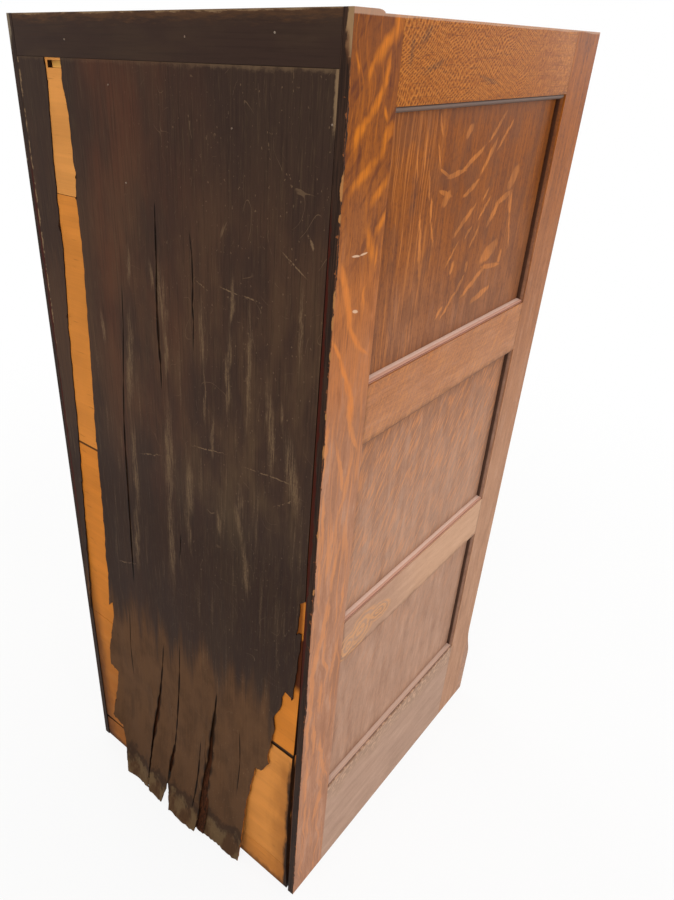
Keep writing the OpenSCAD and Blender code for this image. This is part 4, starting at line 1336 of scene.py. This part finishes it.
class Pulls(bpy.types.Operator):
    """Eases and finishes the pulls and adds their screws"""
    bl_idname = "cabinet.pulls"
    bl_label = "Pulls"

    def execute(self, context):
        sizes, colours = sizes_and_colours(context)
        brass = old_brass("old_brass", colours)
        for side in SIDES:
            for row in ROWS:
                node = f"pull_{side}_{row}"
                eased(node, brass, sizes.arris * 0.5)
                self.screws(node, sizes, brass)
        return {"FINISHED"}

    def screws(self, node, sizes, brass):
        """The two screws at the lower corners of a pull's plate."""
        low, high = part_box(node)
        y = high.y - PULL_PLATE - SCREW_HEIGHT / 2
        places = [(x, y, low.z + SCREW_INSET) for x in (low.x + SCREW_INSET, high.x - SCREW_INSET)]
        heads = [round_head("screw", sizes.screw_d, SCREW_HEIGHT, place, -1) for place in places]
        hand_over(joined(heads, "screws_" + node, brass), body_of(node), slot_of(node))


class Stage(bpy.types.Operator):
    """Lays the floor, sets the lamps and places the camera"""
    bl_idname = "cabinet.stage"
    bl_label = "Stage"

    def execute(self, context):
        colours = context.scene.cabinet_colours
        self.floor(colours)
        self.world(context.scene)
        for lamp in LAMPS:
            self.lamp(*lamp)
        self.camera(context.scene)
        context.scene.view_settings.view_transform = "Standard"
        return {"FINISHED"}

    def floor(self, colours):
        """A matt floor that the camera sees as nearly white, and further off as white."""
        bpy.ops.object.select_all(action="DESELECT")
        bpy.ops.mesh.primitive_plane_add(size=FLOOR_SIZE)
        floor = bpy.context.view_layer.objects.active
        floor.name = "floor"
        s = Surface("floor_paint", 0.9, 0.1)
        s.shader.inputs["Base Color"].default_value = opaque(colours.floor)
        floor.data.materials.append(s.material)
        white = s.place.node("ShaderNodeEmission", {}, {"Color": (1, 1, 1, 1), "Strength": 1.0})
        away = (s.x.math("POWER", 2) + s.y.math("POWER", 2)).math("SQRT").step(900, 2600)
        share = seen_directly(s.place) * (away * 0.12 + 0.88)
        matt = Paint(s.tree, s.shader.outputs[0])
        mixed = s.place.node("ShaderNodeMixShader", {}, {0: share, 1: matt, 2: white})
        s.tree.links.new(mixed.socket, s.tree.nodes["Material Output"].inputs["Surface"])

    def world(self, scene):
        """White all round, at full strength where it is seen or mirrored, and at half where it lights."""
        world = bpy.data.worlds.new("studio")
        world.use_nodes = True
        scene.world = world
        background = world.node_tree.nodes["Background"]
        background.inputs["Color"].default_value = (1, 1, 1, 1)
        seen = seen_directly(Paint(world.node_tree, background.outputs[0]))
        world.node_tree.links.new((seen * 0.5 + 0.5).socket, background.inputs["Strength"])

    def lamp(self, name, place, power):
        """A square lamp that looks at the middle of the cabinet."""
        lamp = bpy.data.objects.new(name, bpy.data.lights.new(name, "AREA"))
        lamp.data.size = LAMP_SIZE
        lamp.data.energy = power
        lamp.location = place
        aim = Vector((0, 0, TOP_Z / 2)) - Vector(place)
        lamp.rotation_euler = aim.to_track_quat("-Z", "Y").to_euler()
        bpy.context.scene.collection.objects.link(lamp)

    def camera(self, scene):
        """The photo's camera, turned by its azimuth, elevation and roll."""
        azimuth, elevation, roll = (math.radians(angle) for angle in CAMERA_TURN)
        back = Vector((math.sin(azimuth) * math.cos(elevation),
                       -math.cos(azimuth) * math.cos(elevation), math.sin(elevation)))
        right = Vector((0, 0, 1)).cross(back).normalized()
        turn = Matrix((right, back.cross(right), back)).transposed() @ Matrix.Rotation(-roll, 3, "Z")
        data = bpy.data.cameras.new("camera")
        data.lens = CAMERA_LENS
        data.shift_x, data.shift_y = CAMERA_SHIFT
        camera = bpy.data.objects.new("camera", data)
        camera.matrix_world = Matrix.Translation(CAMERA_PLACE) @ turn.to_4x4()
        scene.collection.objects.link(camera)
        scene.camera = camera


def seen_directly(paint):
    """1 for camera, glossy and transmission rays, which see the background as white."""
    rays = paint.node("ShaderNodeLightPath")
    outputs = rays.socket.node.outputs
    seen = Paint(paint.tree, outputs["Is Camera Ray"])
    for name in ("Is Glossy Ray", "Is Transmission Ray"):
        seen = seen.largest(Paint(paint.tree, outputs[name]))
    return seen


class CabinetPanel(bpy.types.Panel):
    """Buttons for the pieces, and their sizes and colours"""
    bl_idname = "VIEW3D_PT_cabinet"
    bl_label = "Card cabinet"
    bl_space_type = "VIEW_3D"
    bl_region_type = "UI"
    bl_category = "Cabinet"

    def draw(self, context):
        for operator in OPERATORS:
            self.layout.operator(operator.bl_idname)
        for group in (context.scene.cabinet_sizes, context.scene.cabinet_colours):
            for name in group.__annotations__:
                self.layout.prop(group, name)


OPERATORS = (SideFrames, Mouldings, CaseBoards, BackBoards, TornSheet,
             InnerPly, BackNails, Drawers, Pulls, Stage)
CLASSES = (CabinetSizes, CabinetColours) + OPERATORS + (CabinetPanel,)


def register():
    for made in CLASSES:
        bpy.utils.register_class(made)
    bpy.types.Scene.cabinet_sizes = bpy.props.PointerProperty(type=CabinetSizes)
    bpy.types.Scene.cabinet_colours = bpy.props.PointerProperty(type=CabinetColours)


def unregister():
    del bpy.types.Scene.cabinet_sizes
    del bpy.types.Scene.cabinet_colours
    for made in reversed(CLASSES):
        bpy.utils.unregister_class(made)


def main():
    register()
    for operator in OPERATORS:
        group, name = operator.bl_idname.split(".")
        getattr(getattr(bpy.ops, group), name)()


if __name__ == "__main__":
    main()
